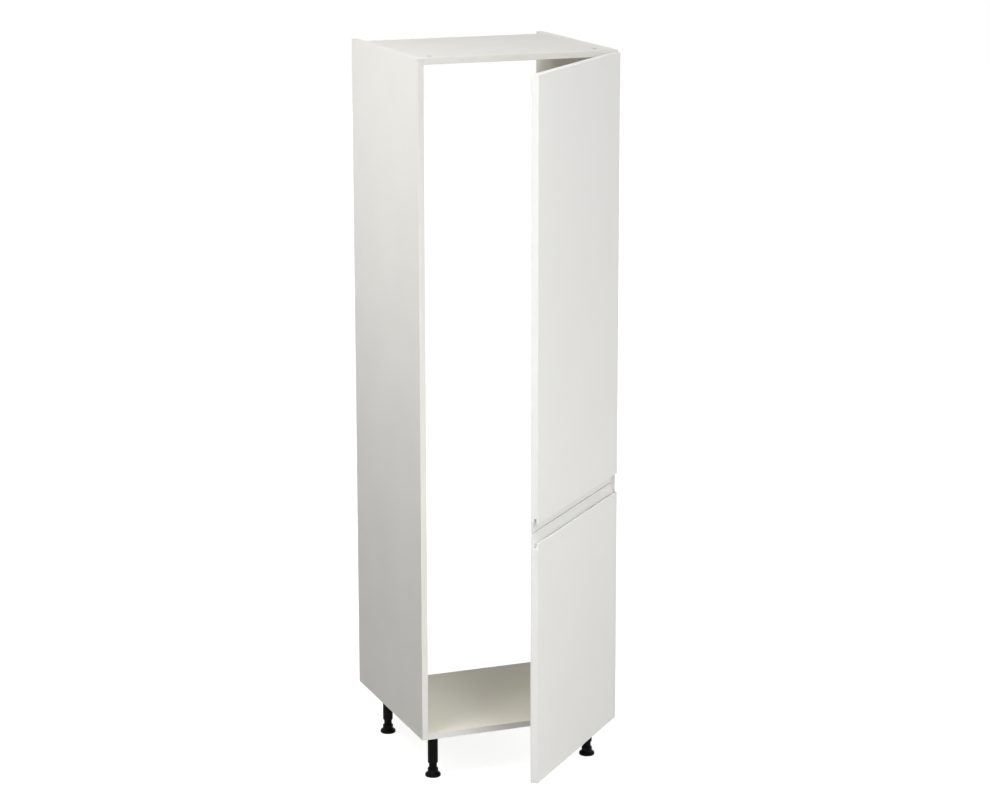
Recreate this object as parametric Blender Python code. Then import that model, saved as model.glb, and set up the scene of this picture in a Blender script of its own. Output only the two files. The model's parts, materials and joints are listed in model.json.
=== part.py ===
"""Tall fridge housing: an open-backed carcass on four screw feet, with two handleless doors.

The appliance stands on the floor board. Its two doors hang one above the other on the right-hand
panel, on concealed cup hinges, and meet at a pair of J-profile finger pulls. Lengths are metres.
X runs across the front, Y from front to back and Z up. The origin lies on the floor, in the middle
of the unit's footprint as it stands with its doors part open.
"""

from math import cos, pi, radians, sin

import bmesh
import bpy
from mathutils import Matrix, Vector

# Carcass
CARCASS_WIDTH = 0.600
CARCASS_HEIGHT = 1.970
CARCASS_DEPTH = 0.570
PANEL_THICKNESS = 0.018
REAR_VENT_DEPTH = 0.072
EDGE_EASE = 0.0005

# Clearances between pieces
SEAT_GAP = 0.0003
BORE_CLEARANCE = 0.0003
CUT_OVERRUN = 0.002

# Doors, which leave a reveal at each side of the carcass and above
DOOR_THICKNESS = 0.022
LOWER_DOOR_HEIGHT = 0.715
DOOR_SIDE_REVEAL = 0.0015
DOOR_TOP_REVEAL = 0.005
DOOR_MEETING_GAP = 0.003
DOOR_BACK_GAP = 0.003
DOOR_ARRIS = 0.0008
DOOR_CORNER_RADIUS = 0.0010

# Finger pull along the meeting end of each door
PULL_LIP_THICKNESS = 0.0048
PULL_LIP_DROP = 0.0255
PULL_LIP_RADIUS = 0.0012
PULL_GROOVE_WIDTH = 0.0080
PULL_GROOVE_DEPTH = 0.0150
PULL_TAIL_THICKNESS = 0.0050
PULL_TAIL_RUN = 0.0080
PULL_SCOOP_SHARES = (0.38, 0.45)

# Hinge axis of the doors, from the door's hinge edge and front face
AXIS_INSET = 0.0095
AXIS_DEPTH = 0.0050
REST_OPENING = radians(45.3)

# Concealed hinges
HINGE_END_DISTANCE = 0.100
HINGE_SETBACK = 0.037
CUP_EDGE_DISTANCE = 0.022
CUP_RADIUS = 0.0175
CUP_DEPTH = 0.0120
CUP_WALL = 0.0012
CUP_FLOOR = 0.0009
CUP_RIM = 0.0015
CUP_FLANGE = 0.0010
WING_OFFSET = 0.0055
WING_WIDTH = 0.0160
WING_LENGTH = 0.0600
CUP_SCREW_SPACING = 0.048
CUP_SCREW_RADIUS = 0.0022
CHEEK_THICKNESS = 0.0020
CHEEK_START = 0.0100
CHEEK_RECESS = 0.0020

# Pivot of the hinge links on the arm, from the door's axis
PIVOT_INWARD = 0.0243
PIVOT_BACK = 0.0096
PIVOT_PIN_RADIUS = 0.0015
LINK_RATIO = -0.62
LINK_WIDTH = 0.0070
LINK_THICKNESS = 0.0022
LINK_EYE_RADIUS = 0.0030
LINK_REACH = 0.0171
LINK_RISE = 0.0037
LINK_BEND_SHARES = ((0.74, -0.51), (0.775, -0.68))

# Arm and its mounting plate
ARM_WIDTH = 0.0156
ARM_SHEET = 0.0015
ARM_REACH = 0.0140
ARM_FOOT_GAP = 0.0030
ARM_REAR = 0.0620
ARM_SHOULDER = 0.0200
ARM_THROAT = 0.0040
ARM_THROAT_LIFT = 0.0090
ARM_NECK = 0.0100
NOSE_WIDTH = 0.0106
NOSE_RADIUS = 0.0030
ARM_SLOT_LENGTH = 0.0110
ARM_SLOT_WIDTH = 0.0050
ARM_SLOT_PLACE = 0.0520
RAIL_WIDTH = 0.0120
RAIL_FRONT = 0.0140
RAIL_REAR = 0.0580
PLATE_SHEET = 0.0016
PLATE_WIDTH = 0.0160
PLATE_LENGTH = 0.0450
PLATE_SCREW_SPACING = 0.0320
PLATE_SCREW_RADIUS = 0.0025

# Cam fittings that hold the boards to the side panels
CAM_RADIUS = 0.0075
CAM_HEIGHT = 0.0125
CAM_FROM_END = 0.0340
CAM_FRONT_PLACE = 0.0500
CAM_REAR_PLACE = 0.0500
CAM_POCKET_PLAY = 0.0020
CAM_CROSS_LENGTH = 0.0070
CAM_CROSS_WIDTH = 0.0016
CAM_CROSS_DEPTH = 0.0014
BOLT_RADIUS = 0.0033
BOLT_PANEL_DEPTH = 0.0110
BOLT_NECK_RADIUS = 0.0018
BOLT_NECK_START = 0.0240
BOLT_HEAD_RADIUS = 0.0029
BOLT_HEAD_START = 0.0302
BOLT_HEAD_END = 0.0330
BOLT_CHAMFER = 0.0008

# Legs
LEG_HEIGHT = 0.137
LEG_SIDE_INSET = 0.0557
LEG_FRONT_INSET = 0.0673
LEG_REAR_INSET = 0.0305
LEG_FLANGE_RADIUS = 0.0300
LEG_FLANGE_THICKNESS = 0.0050
LEG_SPIGOT_LENGTH = 0.0180
LEG_SCREW_CIRCLE = 0.0220
LEG_SCREW_RADIUS = 0.0022
LEG_SCREW_COUNT = 4
TUBE_RADIUS = 0.0150
TUBE_BORE_RADIUS = 0.0123
TUBE_END = 0.0961
TUBE_CHAMFER = 0.0010
STEM_RADIUS = 0.0118
STEM_ENGAGEMENT = 0.0480
COLLAR_RADIUS = 0.0155
COLLAR_TOP = 0.0240
COLLAR_HEIGHT = 0.0090
FOOT_RADIUS = 0.0230
FOOT_SHOULDER_RADIUS = 0.0205
FOOT_SHOULDER_HEIGHT = 0.0100
FOOT_RIM = 0.0055
FOOT_CHAMFER = 0.0010

# Facets
BOLT_SIDES = 10
SMALL_SIDES = 12
ROUND_SIDES = 20
ARC_STEPS = 4
SCOOP_STEPS = 8
LINK_STEPS = 8
SHARP_ANGLE = radians(35)

# Sizes and places that follow from the sizes above
INNER_X = CARCASS_WIDTH / 2 - PANEL_THICKNESS
BOARD_DEPTH = CARCASS_DEPTH - REAR_VENT_DEPTH
DOOR_WIDTH = CARCASS_WIDTH - 2 * DOOR_SIDE_REVEAL
UPPER_DOOR_HEIGHT = CARCASS_HEIGHT - DOOR_TOP_REVEAL - LOWER_DOOR_HEIGHT - DOOR_MEETING_GAP
AXIS_X = DOOR_WIDTH / 2 - AXIS_INSET
AXIS_BEHIND_FRONT = AXIS_DEPTH - DOOR_THICKNESS - DOOR_BACK_GAP
DOOR_REACH = (DOOR_WIDTH - AXIS_INSET) * sin(REST_OPENING) + AXIS_DEPTH * cos(REST_OPENING)
FRONT_Y = -(CARCASS_DEPTH + AXIS_BEHIND_FRONT - DOOR_REACH) / 2
AXIS_Y = FRONT_Y + AXIS_BEHIND_FRONT
CARCASS_TOP = LEG_HEIGHT + CARCASS_HEIGHT
LOWER_DOOR_Z = LEG_HEIGHT
UPPER_DOOR_Z = LOWER_DOOR_Z + LOWER_DOOR_HEIGHT + DOOR_MEETING_GAP
DOOR_BACK = DOOR_THICKNESS - AXIS_DEPTH
CUP_X = AXIS_INSET - CUP_EDGE_DISTANCE
PIVOT_X = AXIS_X - PIVOT_INWARD
PIVOT_Y = AXIS_Y + PIVOT_BACK

HINGES = {
    "lower_bottom": ("lower", LOWER_DOOR_Z + HINGE_END_DISTANCE),
    "lower_top": ("lower", LOWER_DOOR_Z + LOWER_DOOR_HEIGHT - HINGE_END_DISTANCE),
    "upper_bottom": ("upper", UPPER_DOOR_Z + HINGE_END_DISTANCE),
    "upper_middle": ("upper", UPPER_DOOR_Z + UPPER_DOOR_HEIGHT / 2),
    "upper_top": ("upper", UPPER_DOOR_Z + UPPER_DOOR_HEIGHT - HINGE_END_DISTANCE),
}
SIDES = {"left": -1, "right": 1}


def clear_scene():
    """Remove every object that the scene starts with."""
    for old in list(bpy.data.objects):
        bpy.data.objects.remove(old, do_unlink=True)


def finish(name, color, roughness, metallic=0.0):
    """Return a Principled material with one colour, roughness and metallic value."""
    made = bpy.data.materials.new(name)
    made.use_nodes = True
    shader = made.node_tree.nodes["Principled BSDF"]
    shader.inputs["Base Color"].default_value = (*color, 1)
    shader.inputs["Roughness"].default_value = roughness
    shader.inputs["Metallic"].default_value = metallic
    return made


def place(name, mesh, material, parent=None, at=(0, 0, 0)):
    """Put a mesh in the scene as one named sub-part."""
    piece = bpy.data.objects.new(name, mesh)
    bpy.context.scene.collection.objects.link(piece)
    if not mesh.materials:
        mesh.materials.append(material)
    piece.parent = parent
    piece.location = at
    return piece


def pivot(name, at, turn):
    """Add an empty that stands on a joint's axis."""
    empty = bpy.data.objects.new(name, None)
    bpy.context.scene.collection.objects.link(empty)
    empty.location = at
    empty.rotation_euler.z = turn
    return empty


def as_mesh(name, bm, smooth=True):
    """Turn a bmesh into a mesh whose faces point outwards."""
    bmesh.ops.recalc_face_normals(bm, faces=bm.faces)
    mesh = bpy.data.meshes.new(name)
    bm.to_mesh(mesh)
    bm.free()
    if smooth:
        mesh.shade_smooth()
        mesh.set_sharp_from_angle(angle=SHARP_ANGLE)
    return mesh


def carve(mesh, steps):
    """Apply Boolean steps, each an operation and a tool mesh, and return the resulting mesh."""
    scene = bpy.context.scene
    body = bpy.data.objects.new(mesh.name + "_blank", mesh)
    scene.collection.objects.link(body)
    tools = []
    for operation, tool_mesh in steps:
        tool = bpy.data.objects.new(tool_mesh.name + "_tool", tool_mesh)
        scene.collection.objects.link(tool)
        tool.hide_render = True
        tool.display_type = "WIRE"
        tools.append(tool)
        boolean = body.modifiers.new(operation.lower(), "BOOLEAN")
        boolean.operation = operation
        boolean.solver = "EXACT"
        boolean.object = tool
    graph = bpy.context.evaluated_depsgraph_get()
    carved = bpy.data.meshes.new_from_object(body.evaluated_get(graph), depsgraph=graph)
    for used in (body, *tools):
        bpy.data.objects.remove(used, do_unlink=True)
    carved.name = mesh.name + "_carved"
    carved.shade_smooth()
    carved.set_sharp_from_angle(angle=SHARP_ANGLE)
    return carved


def gather(name, meshes):
    """Join meshes that don't touch into one tool mesh."""
    bm = bmesh.new()
    for mesh in meshes:
        bm.from_mesh(mesh)
    return as_mesh(name, bm, smooth=False)


def block(name, low, high, ease=0.0):
    """Return a box between two corners, with its arrises eased where ease is set."""
    low, high = Vector(low), Vector(high)
    bm = bmesh.new()
    bmesh.ops.create_cube(bm, size=1)
    bmesh.ops.scale(bm, vec=high - low, verts=bm.verts)
    bmesh.ops.translate(bm, vec=(low + high) / 2, verts=bm.verts)
    if ease:
        bmesh.ops.bevel(
            bm, geom=bm.edges[:], offset=ease, segments=1, profile=0.5, affect="EDGES", material=-1
        )
    return as_mesh(name, bm, smooth=False)


def rod(name, radius, start, end, sides=SMALL_SIDES):
    """Return a round rod between two points."""
    start, end = Vector(start), Vector(end)
    along = end - start
    bm = bmesh.new()
    bmesh.ops.create_cone(
        bm, cap_ends=True, segments=sides, radius1=radius, radius2=radius, depth=along.length
    )
    turn = along.to_track_quat("Z", "Y").to_matrix().to_4x4()
    bm.transform(Matrix.Translation((start + end) / 2) @ turn)
    return as_mesh(name, bm)


def turned(name, profile, sides=ROUND_SIDES):
    """Return the solid swept by a closed (radius, height) outline about Z."""
    bm = bmesh.new()
    points = [bm.verts.new((radius, 0, height)) for radius, height in profile]
    edges = [bm.edges.new((a, b)) for a, b in zip(points, points[1:])]
    if profile[0][0] > 0:
        edges.append(bm.edges.new((points[-1], points[0])))
    bmesh.ops.spin(
        bm, geom=edges, cent=(0, 0, 0), axis=(0, 0, 1), dvec=(0, 0, 0),
        angle=2 * pi, steps=sides, use_merge=True,
    )
    bmesh.ops.remove_doubles(bm, verts=bm.verts, dist=SEAT_GAP / 10)
    return as_mesh(name, bm)


def prism(name, outline, low, high, axes):
    """Extrude a closed outline; axes gives the directions of its two coordinates and of the run."""
    across, along, run = (Vector(axis) for axis in axes)
    bm = bmesh.new()
    ring = [bm.verts.new(across * a + along * b + run * low) for a, b in outline]
    face = bm.faces.new(ring)
    swept = bmesh.ops.extrude_face_region(bm, geom=[face])
    moved = [item for item in swept["geom"] if isinstance(item, bmesh.types.BMVert)]
    bmesh.ops.translate(bm, vec=run * (high - low), verts=moved)
    return as_mesh(name, bm)


def arc(center, radius, start, end, steps=ARC_STEPS):
    """Return points on an arc; the angles are in quarter turns."""
    turns = [start + (end - start) * step / steps for step in range(steps + 1)]
    return [
        (center[0] + radius * cos(turn * pi / 2), center[1] + radius * sin(turn * pi / 2))
        for turn in turns
    ]


def bezier(start, first, second, end, steps):
    """Return points on a cubic curve."""
    points = []
    for step in range(steps + 1):
        t = step / steps
        weights = ((1 - t) ** 3, 3 * t * (1 - t) ** 2, 3 * t * t * (1 - t), t**3)
        points.append(tuple(
            sum(weight * point[axis] for weight, point in zip(weights, (start, first, second, end)))
            for axis in (0, 1)
        ))
    return points


X, Y, Z = (1, 0, 0), (0, 1, 0), (0, 0, 1)

LAMINATE = finish("white melamine board", (0.84, 0.84, 0.82), 0.45)
DOOR_WHITE = finish("white foil door", (0.86, 0.86, 0.85), 0.30)
BLACK_PLASTIC = finish("black moulded plastic", (0.012, 0.012, 0.013), 0.42)
NICKEL = finish("nickel plated steel", (0.62, 0.61, 0.58), 0.28, 1.0)
ZINC = finish("zinc die casting", (0.55, 0.56, 0.57), 0.38, 1.0)


def board_levels():
    """Return each board's name with its low and high face and the side its cams are put in from."""
    return {
        "top": (CARCASS_TOP - PANEL_THICKNESS, CARCASS_TOP, 1),
        "floor": (LEG_HEIGHT, LEG_HEIGHT + PANEL_THICKNESS, -1),
    }


def cam_places():
    """Return every cam fitting as its name, board, side sign and place from front to back."""
    rows = {
        "front": FRONT_Y + CAM_FRONT_PLACE,
        "rear": FRONT_Y + BOARD_DEPTH - CAM_REAR_PLACE,
    }
    return [
        (f"{board}_{row}_{side}", board, sign, y)
        for board in board_levels() for row, y in rows.items() for side, sign in SIDES.items()
    ]


def bolt_height(board):
    """Return the height of the bolts in a board: the middle of its thickness."""
    low, high, _ = board_levels()[board]
    return (low + high) / 2


def make_side_panels():
    """Make the two side panels, drilled for the connecting bolts."""
    for side, sign in SIDES.items():
        low = (min(sign * INNER_X, sign * CARCASS_WIDTH / 2), FRONT_Y, LEG_HEIGHT)
        high = (max(sign * INNER_X, sign * CARCASS_WIDTH / 2), FRONT_Y + CARCASS_DEPTH, CARCASS_TOP)
        panel = block(side + "_side_panel", low, high, EDGE_EASE)
        holes = [
            rod("bolt_hole", BOLT_RADIUS + BORE_CLEARANCE,
                (sign * (INNER_X - CUT_OVERRUN), y, bolt_height(board)),
                (sign * (INNER_X + BOLT_PANEL_DEPTH), y, bolt_height(board)))
            for _, board, place_sign, y in cam_places() if place_sign == sign
        ]
        panel = carve(panel, [("DIFFERENCE", gather("bolt_holes", holes))])
        place(side + "_side_panel", panel, LAMINATE)


def make_boards():
    """Make the top board and the floor board, bored for cams from the face that stays out of sight."""
    end_x = INNER_X - SEAT_GAP
    for board, (low_z, high_z, cam_side) in board_levels().items():
        blank = block(board + "_board", (-end_x, FRONT_Y, low_z),
                      (end_x, FRONT_Y + BOARD_DEPTH, high_z), EDGE_EASE)
        face_z = high_z if cam_side > 0 else low_z
        cam_bores, bolt_bores = [], []
        for _, of_board, sign, y in cam_places():
            if of_board != board:
                continue
            cam_x = sign * (INNER_X - CAM_FROM_END)
            cam_bores.append(rod(
                "cam_bore", CAM_RADIUS + BORE_CLEARANCE,
                (cam_x, y, face_z + cam_side * CUT_OVERRUN),
                (cam_x, y, face_z - cam_side * (CAM_HEIGHT + 2 * SEAT_GAP)), ROUND_SIDES))
            bolt_bores.append(rod(
                "bolt_bore", BOLT_RADIUS + BORE_CLEARANCE,
                (sign * (end_x + CUT_OVERRUN), y, bolt_height(board)),
                (cam_x + sign * BOLT_RADIUS, y, bolt_height(board))))
        drilled = carve(blank, [
            ("DIFFERENCE", gather("cam_bores", cam_bores)),
            ("DIFFERENCE", gather("bolt_bores", bolt_bores)),
        ])
        place(board + "_board", drilled, LAMINATE)


def cam_mesh():
    """Return a cam about its own axis: open below, slit for the bolt's neck, cross-slotted on top."""
    cam = rod("cam", CAM_RADIUS, (0, 0, -CAM_HEIGHT), (0, 0, 0), ROUND_SIDES)
    outside = CAM_RADIUS + CUT_OVERRUN
    below = -CAM_HEIGHT - CUT_OVERRUN
    half_slit = BOLT_NECK_RADIUS + SEAT_GAP
    half_pocket = BOLT_HEAD_RADIUS + 2 * SEAT_GAP
    cover = PANEL_THICKNESS / 2 - SEAT_GAP - half_pocket
    slit = block("slit", (0, -half_slit, below), (outside, half_slit, -cover))
    pocket = block("pocket", (CAM_FROM_END - BOLT_HEAD_END - CAM_POCKET_PLAY, -half_pocket, below),
                   (CAM_FROM_END - BOLT_HEAD_START + SEAT_GAP, half_pocket, -cover))
    bar = block("bar", (-CAM_CROSS_LENGTH / 2, -CAM_CROSS_WIDTH / 2, -CAM_CROSS_DEPTH),
                (CAM_CROSS_LENGTH / 2, CAM_CROSS_WIDTH / 2, CUT_OVERRUN))
    stem = block("stem", (-CAM_CROSS_WIDTH / 2, -CAM_CROSS_LENGTH / 2, -CAM_CROSS_DEPTH),
                 (CAM_CROSS_WIDTH / 2, CAM_CROSS_LENGTH / 2, CUT_OVERRUN))
    return carve(cam, [("DIFFERENCE", tool) for tool in (slit, pocket, bar, stem)])


def bolt_mesh():
    """Return a connecting bolt along Z, its zero at the side panel's inner face."""
    buried = SEAT_GAP - BOLT_PANEL_DEPTH
    return turned("cam_bolt", [
        (0, buried),
        (BOLT_RADIUS - BOLT_CHAMFER, buried),
        (BOLT_RADIUS, buried + BOLT_CHAMFER),
        (BOLT_RADIUS, BOLT_NECK_START - BOLT_CHAMFER),
        (BOLT_NECK_RADIUS, BOLT_NECK_START),
        (BOLT_NECK_RADIUS, BOLT_HEAD_START),
        (BOLT_HEAD_RADIUS, BOLT_HEAD_START + BOLT_CHAMFER),
        (BOLT_HEAD_RADIUS, BOLT_HEAD_END),
        (0, BOLT_HEAD_END),
    ], BOLT_SIDES)


def make_cam_fittings():
    """Make the eight cams and their bolts, each seated in its own bores."""
    cam, bolt = cam_mesh(), bolt_mesh()
    levels = board_levels()
    for name, board, sign, y in cam_places():
        low_z, high_z, cam_side = levels[board]
        face_z = high_z if cam_side > 0 else low_z
        piece = place("cam_" + name, cam, ZINC, at=(sign * (INNER_X - CAM_FROM_END), y,
                                                    face_z - cam_side * SEAT_GAP))
        facing = 0 if sign > 0 else pi
        piece.rotation_euler = (0, 0, facing) if cam_side > 0 else (pi, 0, facing)
        stud = place("cam_bolt_" + name, bolt, NICKEL, at=(sign * INNER_X, y, bolt_height(board)))
        stud.rotation_euler.y = -sign * pi / 2


def door_outline(height):
    """Return a door's section as (depth, height) points, its finger pull at the top end.

    Depth runs from the front face. The lip stands in front of a rounded groove, whose back wall
    scoops out to the thin tail that meets the other door.
    """
    lip_top = height - PULL_LIP_DROP
    groove_back = PULL_LIP_THICKNESS + PULL_GROOVE_WIDTH
    groove_radius = PULL_GROOVE_WIDTH / 2
    groove_z = lip_top - PULL_GROOVE_DEPTH + groove_radius
    tail_face = DOOR_THICKNESS - PULL_TAIL_THICKNESS
    scoop_end = height - PULL_TAIL_RUN
    scoop_run = scoop_end - groove_z
    rise_a, rise_b = PULL_SCOOP_SHARES
    corner, lip = DOOR_CORNER_RADIUS, PULL_LIP_RADIUS
    return [
        *arc((corner, corner), corner, 3, 2),
        *arc((lip, lip_top - lip), lip, 2, 1),
        *arc((PULL_LIP_THICKNESS - lip, lip_top - lip), lip, 1, 0),
        *arc((PULL_LIP_THICKNESS + groove_radius, groove_z), groove_radius, 2, 4, 2 * ARC_STEPS),
        *bezier((groove_back, groove_z), (groove_back, groove_z + rise_a * scoop_run),
                (tail_face, scoop_end - rise_b * scoop_run), (tail_face, scoop_end), SCOOP_STEPS)[1:],
        *arc((tail_face + corner, height - corner), corner, 2, 1),
        *arc((DOOR_THICKNESS - corner, height - corner), corner, 1, 0),
        *arc((DOOR_THICKNESS - corner, corner), corner, 0, -1),
    ]


def door_mesh(name, low_z, height, pull_on_top):
    """Return one door about the hinge axis, bored for its hinge cups."""
    outline = door_outline(height)
    if pull_on_top:
        section = [(depth - AXIS_DEPTH, low_z + z) for depth, z in outline]
    else:
        section = [(depth - AXIS_DEPTH, low_z + height - z) for depth, z in outline]
    blank = prism(name, section, AXIS_INSET - DOOR_WIDTH, AXIS_INSET, (Y, Z, X))
    bm = bmesh.new()
    bm.from_mesh(blank)
    ends = (AXIS_INSET - DOOR_WIDTH, AXIS_INSET)
    arrises = [
        edge for edge in bm.edges
        if edge.calc_length() > height / 2
        and any(all(abs(vert.co.x - end) < SEAT_GAP for vert in edge.verts) for end in ends)
    ]
    bmesh.ops.bevel(
        bm, geom=arrises, offset=DOOR_ARRIS, segments=2, profile=0.5, affect="EDGES", material=-1
    )
    blank = as_mesh(name, bm)
    bores = [
        rod("cup_bore", CUP_RADIUS + BORE_CLEARANCE,
            (CUP_X, DOOR_BACK + CUT_OVERRUN, z), (CUP_X, DOOR_BACK - CUP_DEPTH, z), ROUND_SIDES)
        for door, z in HINGES.values() if name.startswith(door)
    ]
    return carve(blank, [("DIFFERENCE", gather("cup_bores", bores))])


def cup_mesh():
    """Return a hinge cup in the closed door's place, its height zero at the hinge's middle.

    Two cheeks stand in its hollow, and the link's end works between them.
    """
    flange_low = DOOR_BACK + SEAT_GAP
    flange_high = flange_low + CUP_FLANGE
    floor = flange_low - CUP_DEPTH
    wing_x = CUP_X - WING_OFFSET
    half_wing, wing_end = WING_WIDTH / 2, WING_LENGTH / 2 - WING_WIDTH / 2
    wings = prism("cup_wings", [
        *arc((wing_x, wing_end), half_wing, 0, 2, 2 * ARC_STEPS),
        *arc((wing_x, -wing_end), half_wing, 2, 4, 2 * ARC_STEPS),
    ], flange_low, flange_high, (X, Z, Y))
    wall_radius = CUP_RADIUS - CUP_WALL
    shell = turned("cup_shell", [
        (0, floor),
        (CUP_RADIUS, floor),
        (CUP_RADIUS, flange_low),
        (CUP_RADIUS + CUP_RIM, flange_low),
        (CUP_RADIUS + CUP_RIM, flange_high),
        (wall_radius, flange_high),
        (wall_radius, floor + CUP_FLOOR),
        (0, floor + CUP_FLOOR),
    ])
    shell.transform(Matrix.Translation((CUP_X, 0, 0)) @ Matrix.Rotation(-pi / 2, 4, "X"))
    opening = rod("cup_opening", wall_radius + CUP_WALL / 2, (CUP_X, flange_low - CUT_OVERRUN, 0),
                  (CUP_X, flange_high + CUT_OVERRUN, 0), ROUND_SIDES)
    screw_holes = [
        rod("hole", CUP_SCREW_RADIUS, (wing_x, flange_low - CUT_OVERRUN, side * CUP_SCREW_SPACING / 2),
            (wing_x, flange_high + CUT_OVERRUN, side * CUP_SCREW_SPACING / 2))
        for side in (-1, 1)
    ]
    near = LINK_WIDTH / 2 + SEAT_GAP
    far = near + CHEEK_THICKNESS
    cheeks = gather("cup_cheeks", [
        block("cheek", (-CHEEK_START, floor + CUP_FLOOR / 2, low),
              (CUP_X + wall_radius - CUP_WALL / 2, flange_low - CHEEK_RECESS, high))
        for low, high in ((-far, -near), (near, far))
    ])
    return carve(wings, [
        ("DIFFERENCE", gather("cup_holes", [opening, *screw_holes])), ("UNION", shell), ("UNION", cheeks),
    ])


def link_mesh():
    """Return a hinge link about its pivot, as it lies with the door closed."""
    end = (LINK_REACH, LINK_RISE)
    first, second = ((LINK_REACH * reach, LINK_RISE * rise) for reach, rise in LINK_BEND_SHARES)
    spine = bezier((0, 0), first, second, end, LINK_STEPS)
    half = LINK_THICKNESS / 2
    upper, lower = [], []
    for index, point in enumerate(spine):
        before, after = spine[max(index - 1, 0)], spine[min(index + 1, LINK_STEPS)]
        along = (Vector(after) - Vector(before)).normalized()
        normal = Vector((-along.y, along.x)) * half
        upper.append(tuple(Vector(point) + normal))
        lower.append(tuple(Vector(point) - normal))
    strap = prism("link", lower + upper[::-1], -LINK_WIDTH / 2, LINK_WIDTH / 2, (X, Y, Z))
    eye = rod("eye", LINK_EYE_RADIUS, (0, 0, -LINK_WIDTH / 2), (0, 0, LINK_WIDTH / 2), ROUND_SIDES)
    bore = rod("bore", PIVOT_PIN_RADIUS + BORE_CLEARANCE, (0, 0, -LINK_WIDTH), (0, 0, LINK_WIDTH))
    return carve(strap, [("UNION", eye), ("DIFFERENCE", bore)])


def plate_mesh():
    """Return a mounting plate with its rail: X from the panel's face, Y from the carcass front."""
    rail_top = ARM_REACH - ARM_SHEET - SEAT_GAP
    half, end = PLATE_WIDTH / 2, PLATE_LENGTH / 2 - PLATE_WIDTH / 2
    wings = prism("plate", [
        *arc((HINGE_SETBACK, end), half, 0, 2, 2 * ARC_STEPS),
        *arc((HINGE_SETBACK, -end), half, 2, 4, 2 * ARC_STEPS),
    ], SEAT_GAP, SEAT_GAP + PLATE_SHEET, (Y, Z, X))
    rail = block("rail", (SEAT_GAP, RAIL_FRONT, -RAIL_WIDTH / 2), (rail_top, RAIL_REAR, RAIL_WIDTH / 2),
                 EDGE_EASE)
    holes = gather("plate_holes", [
        rod("hole", PLATE_SCREW_RADIUS, (-CUT_OVERRUN, HINGE_SETBACK, side * PLATE_SCREW_SPACING / 2),
            (PLATE_SHEET + CUT_OVERRUN, HINGE_SETBACK, side * PLATE_SCREW_SPACING / 2))
        for side in (-1, 1)
    ])
    return carve(wings, [("UNION", rail), ("DIFFERENCE", holes)])


def arm_mesh():
    """Return a hinge arm: a folded channel over the rail, necked down to a nose with the pivot pin."""
    nose_x = INNER_X - PIVOT_X
    nose_y = PIVOT_Y - FRONT_Y
    cheeks = [
        (ARM_FOOT_GAP, ARM_REAR),
        (ARM_FOOT_GAP, RAIL_FRONT + CUT_OVERRUN),
        (ARM_THROAT_LIFT, ARM_THROAT),
        *arc((nose_x, nose_y), NOSE_RADIUS, 2, 4, 2 * ARC_STEPS),
        (ARM_REACH, ARM_SHOULDER),
        (ARM_REACH, ARM_REAR),
    ]
    blank = prism("arm", cheeks, -ARM_WIDTH / 2, ARM_WIDTH / 2, (X, Y, Z))
    front = nose_y - NOSE_RADIUS - CUT_OVERRUN
    inner_rear, inner_front = ARM_WIDTH / 2 - ARM_SHEET, NOSE_WIDTH / 2 - ARM_SHEET
    beyond = nose_x + NOSE_RADIUS + CUT_OVERRUN
    trims = gather("arm_trims", [
        block("trim", (-CUT_OVERRUN, front, min(side * NOSE_WIDTH / 2, side * ARM_WIDTH)),
              (beyond, ARM_NECK, max(side * NOSE_WIDTH / 2, side * ARM_WIDTH)))
        for side in (-1, 1)
    ])
    under_web = ARM_REACH - ARM_SHEET
    channel = block("channel", (-CUT_OVERRUN, ARM_NECK + ARM_SHEET, -inner_rear),
                    (under_web, ARM_REAR + CUT_OVERRUN, inner_rear))
    throat = block("throat", (-CUT_OVERRUN, front, -inner_front),
                   (under_web, ARM_NECK + 2 * ARM_SHEET, inner_front))
    mouth = block("mouth", (-CUT_OVERRUN, front - CUT_OVERRUN, -inner_front),
                  (beyond + CUT_OVERRUN, 0, inner_front))
    slot_run = (ARM_SLOT_LENGTH - ARM_SLOT_WIDTH) / 2
    slot = prism("slot", [
        *arc((0, ARM_SLOT_PLACE + slot_run), ARM_SLOT_WIDTH / 2, 0, 2),
        *arc((0, ARM_SLOT_PLACE - slot_run), ARM_SLOT_WIDTH / 2, 2, 4),
    ], under_web - SEAT_GAP, ARM_REACH + CUT_OVERRUN, (Z, Y, X))
    pin = rod("pin", PIVOT_PIN_RADIUS, (nose_x, nose_y, -inner_front - ARM_SHEET / 2),
              (nose_x, nose_y, inner_front + ARM_SHEET / 2))
    return carve(blank, [
        ("DIFFERENCE", trims), ("DIFFERENCE", channel), ("DIFFERENCE", throat),
        ("DIFFERENCE", mouth), ("DIFFERENCE", slot), ("UNION", pin),
    ])


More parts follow.
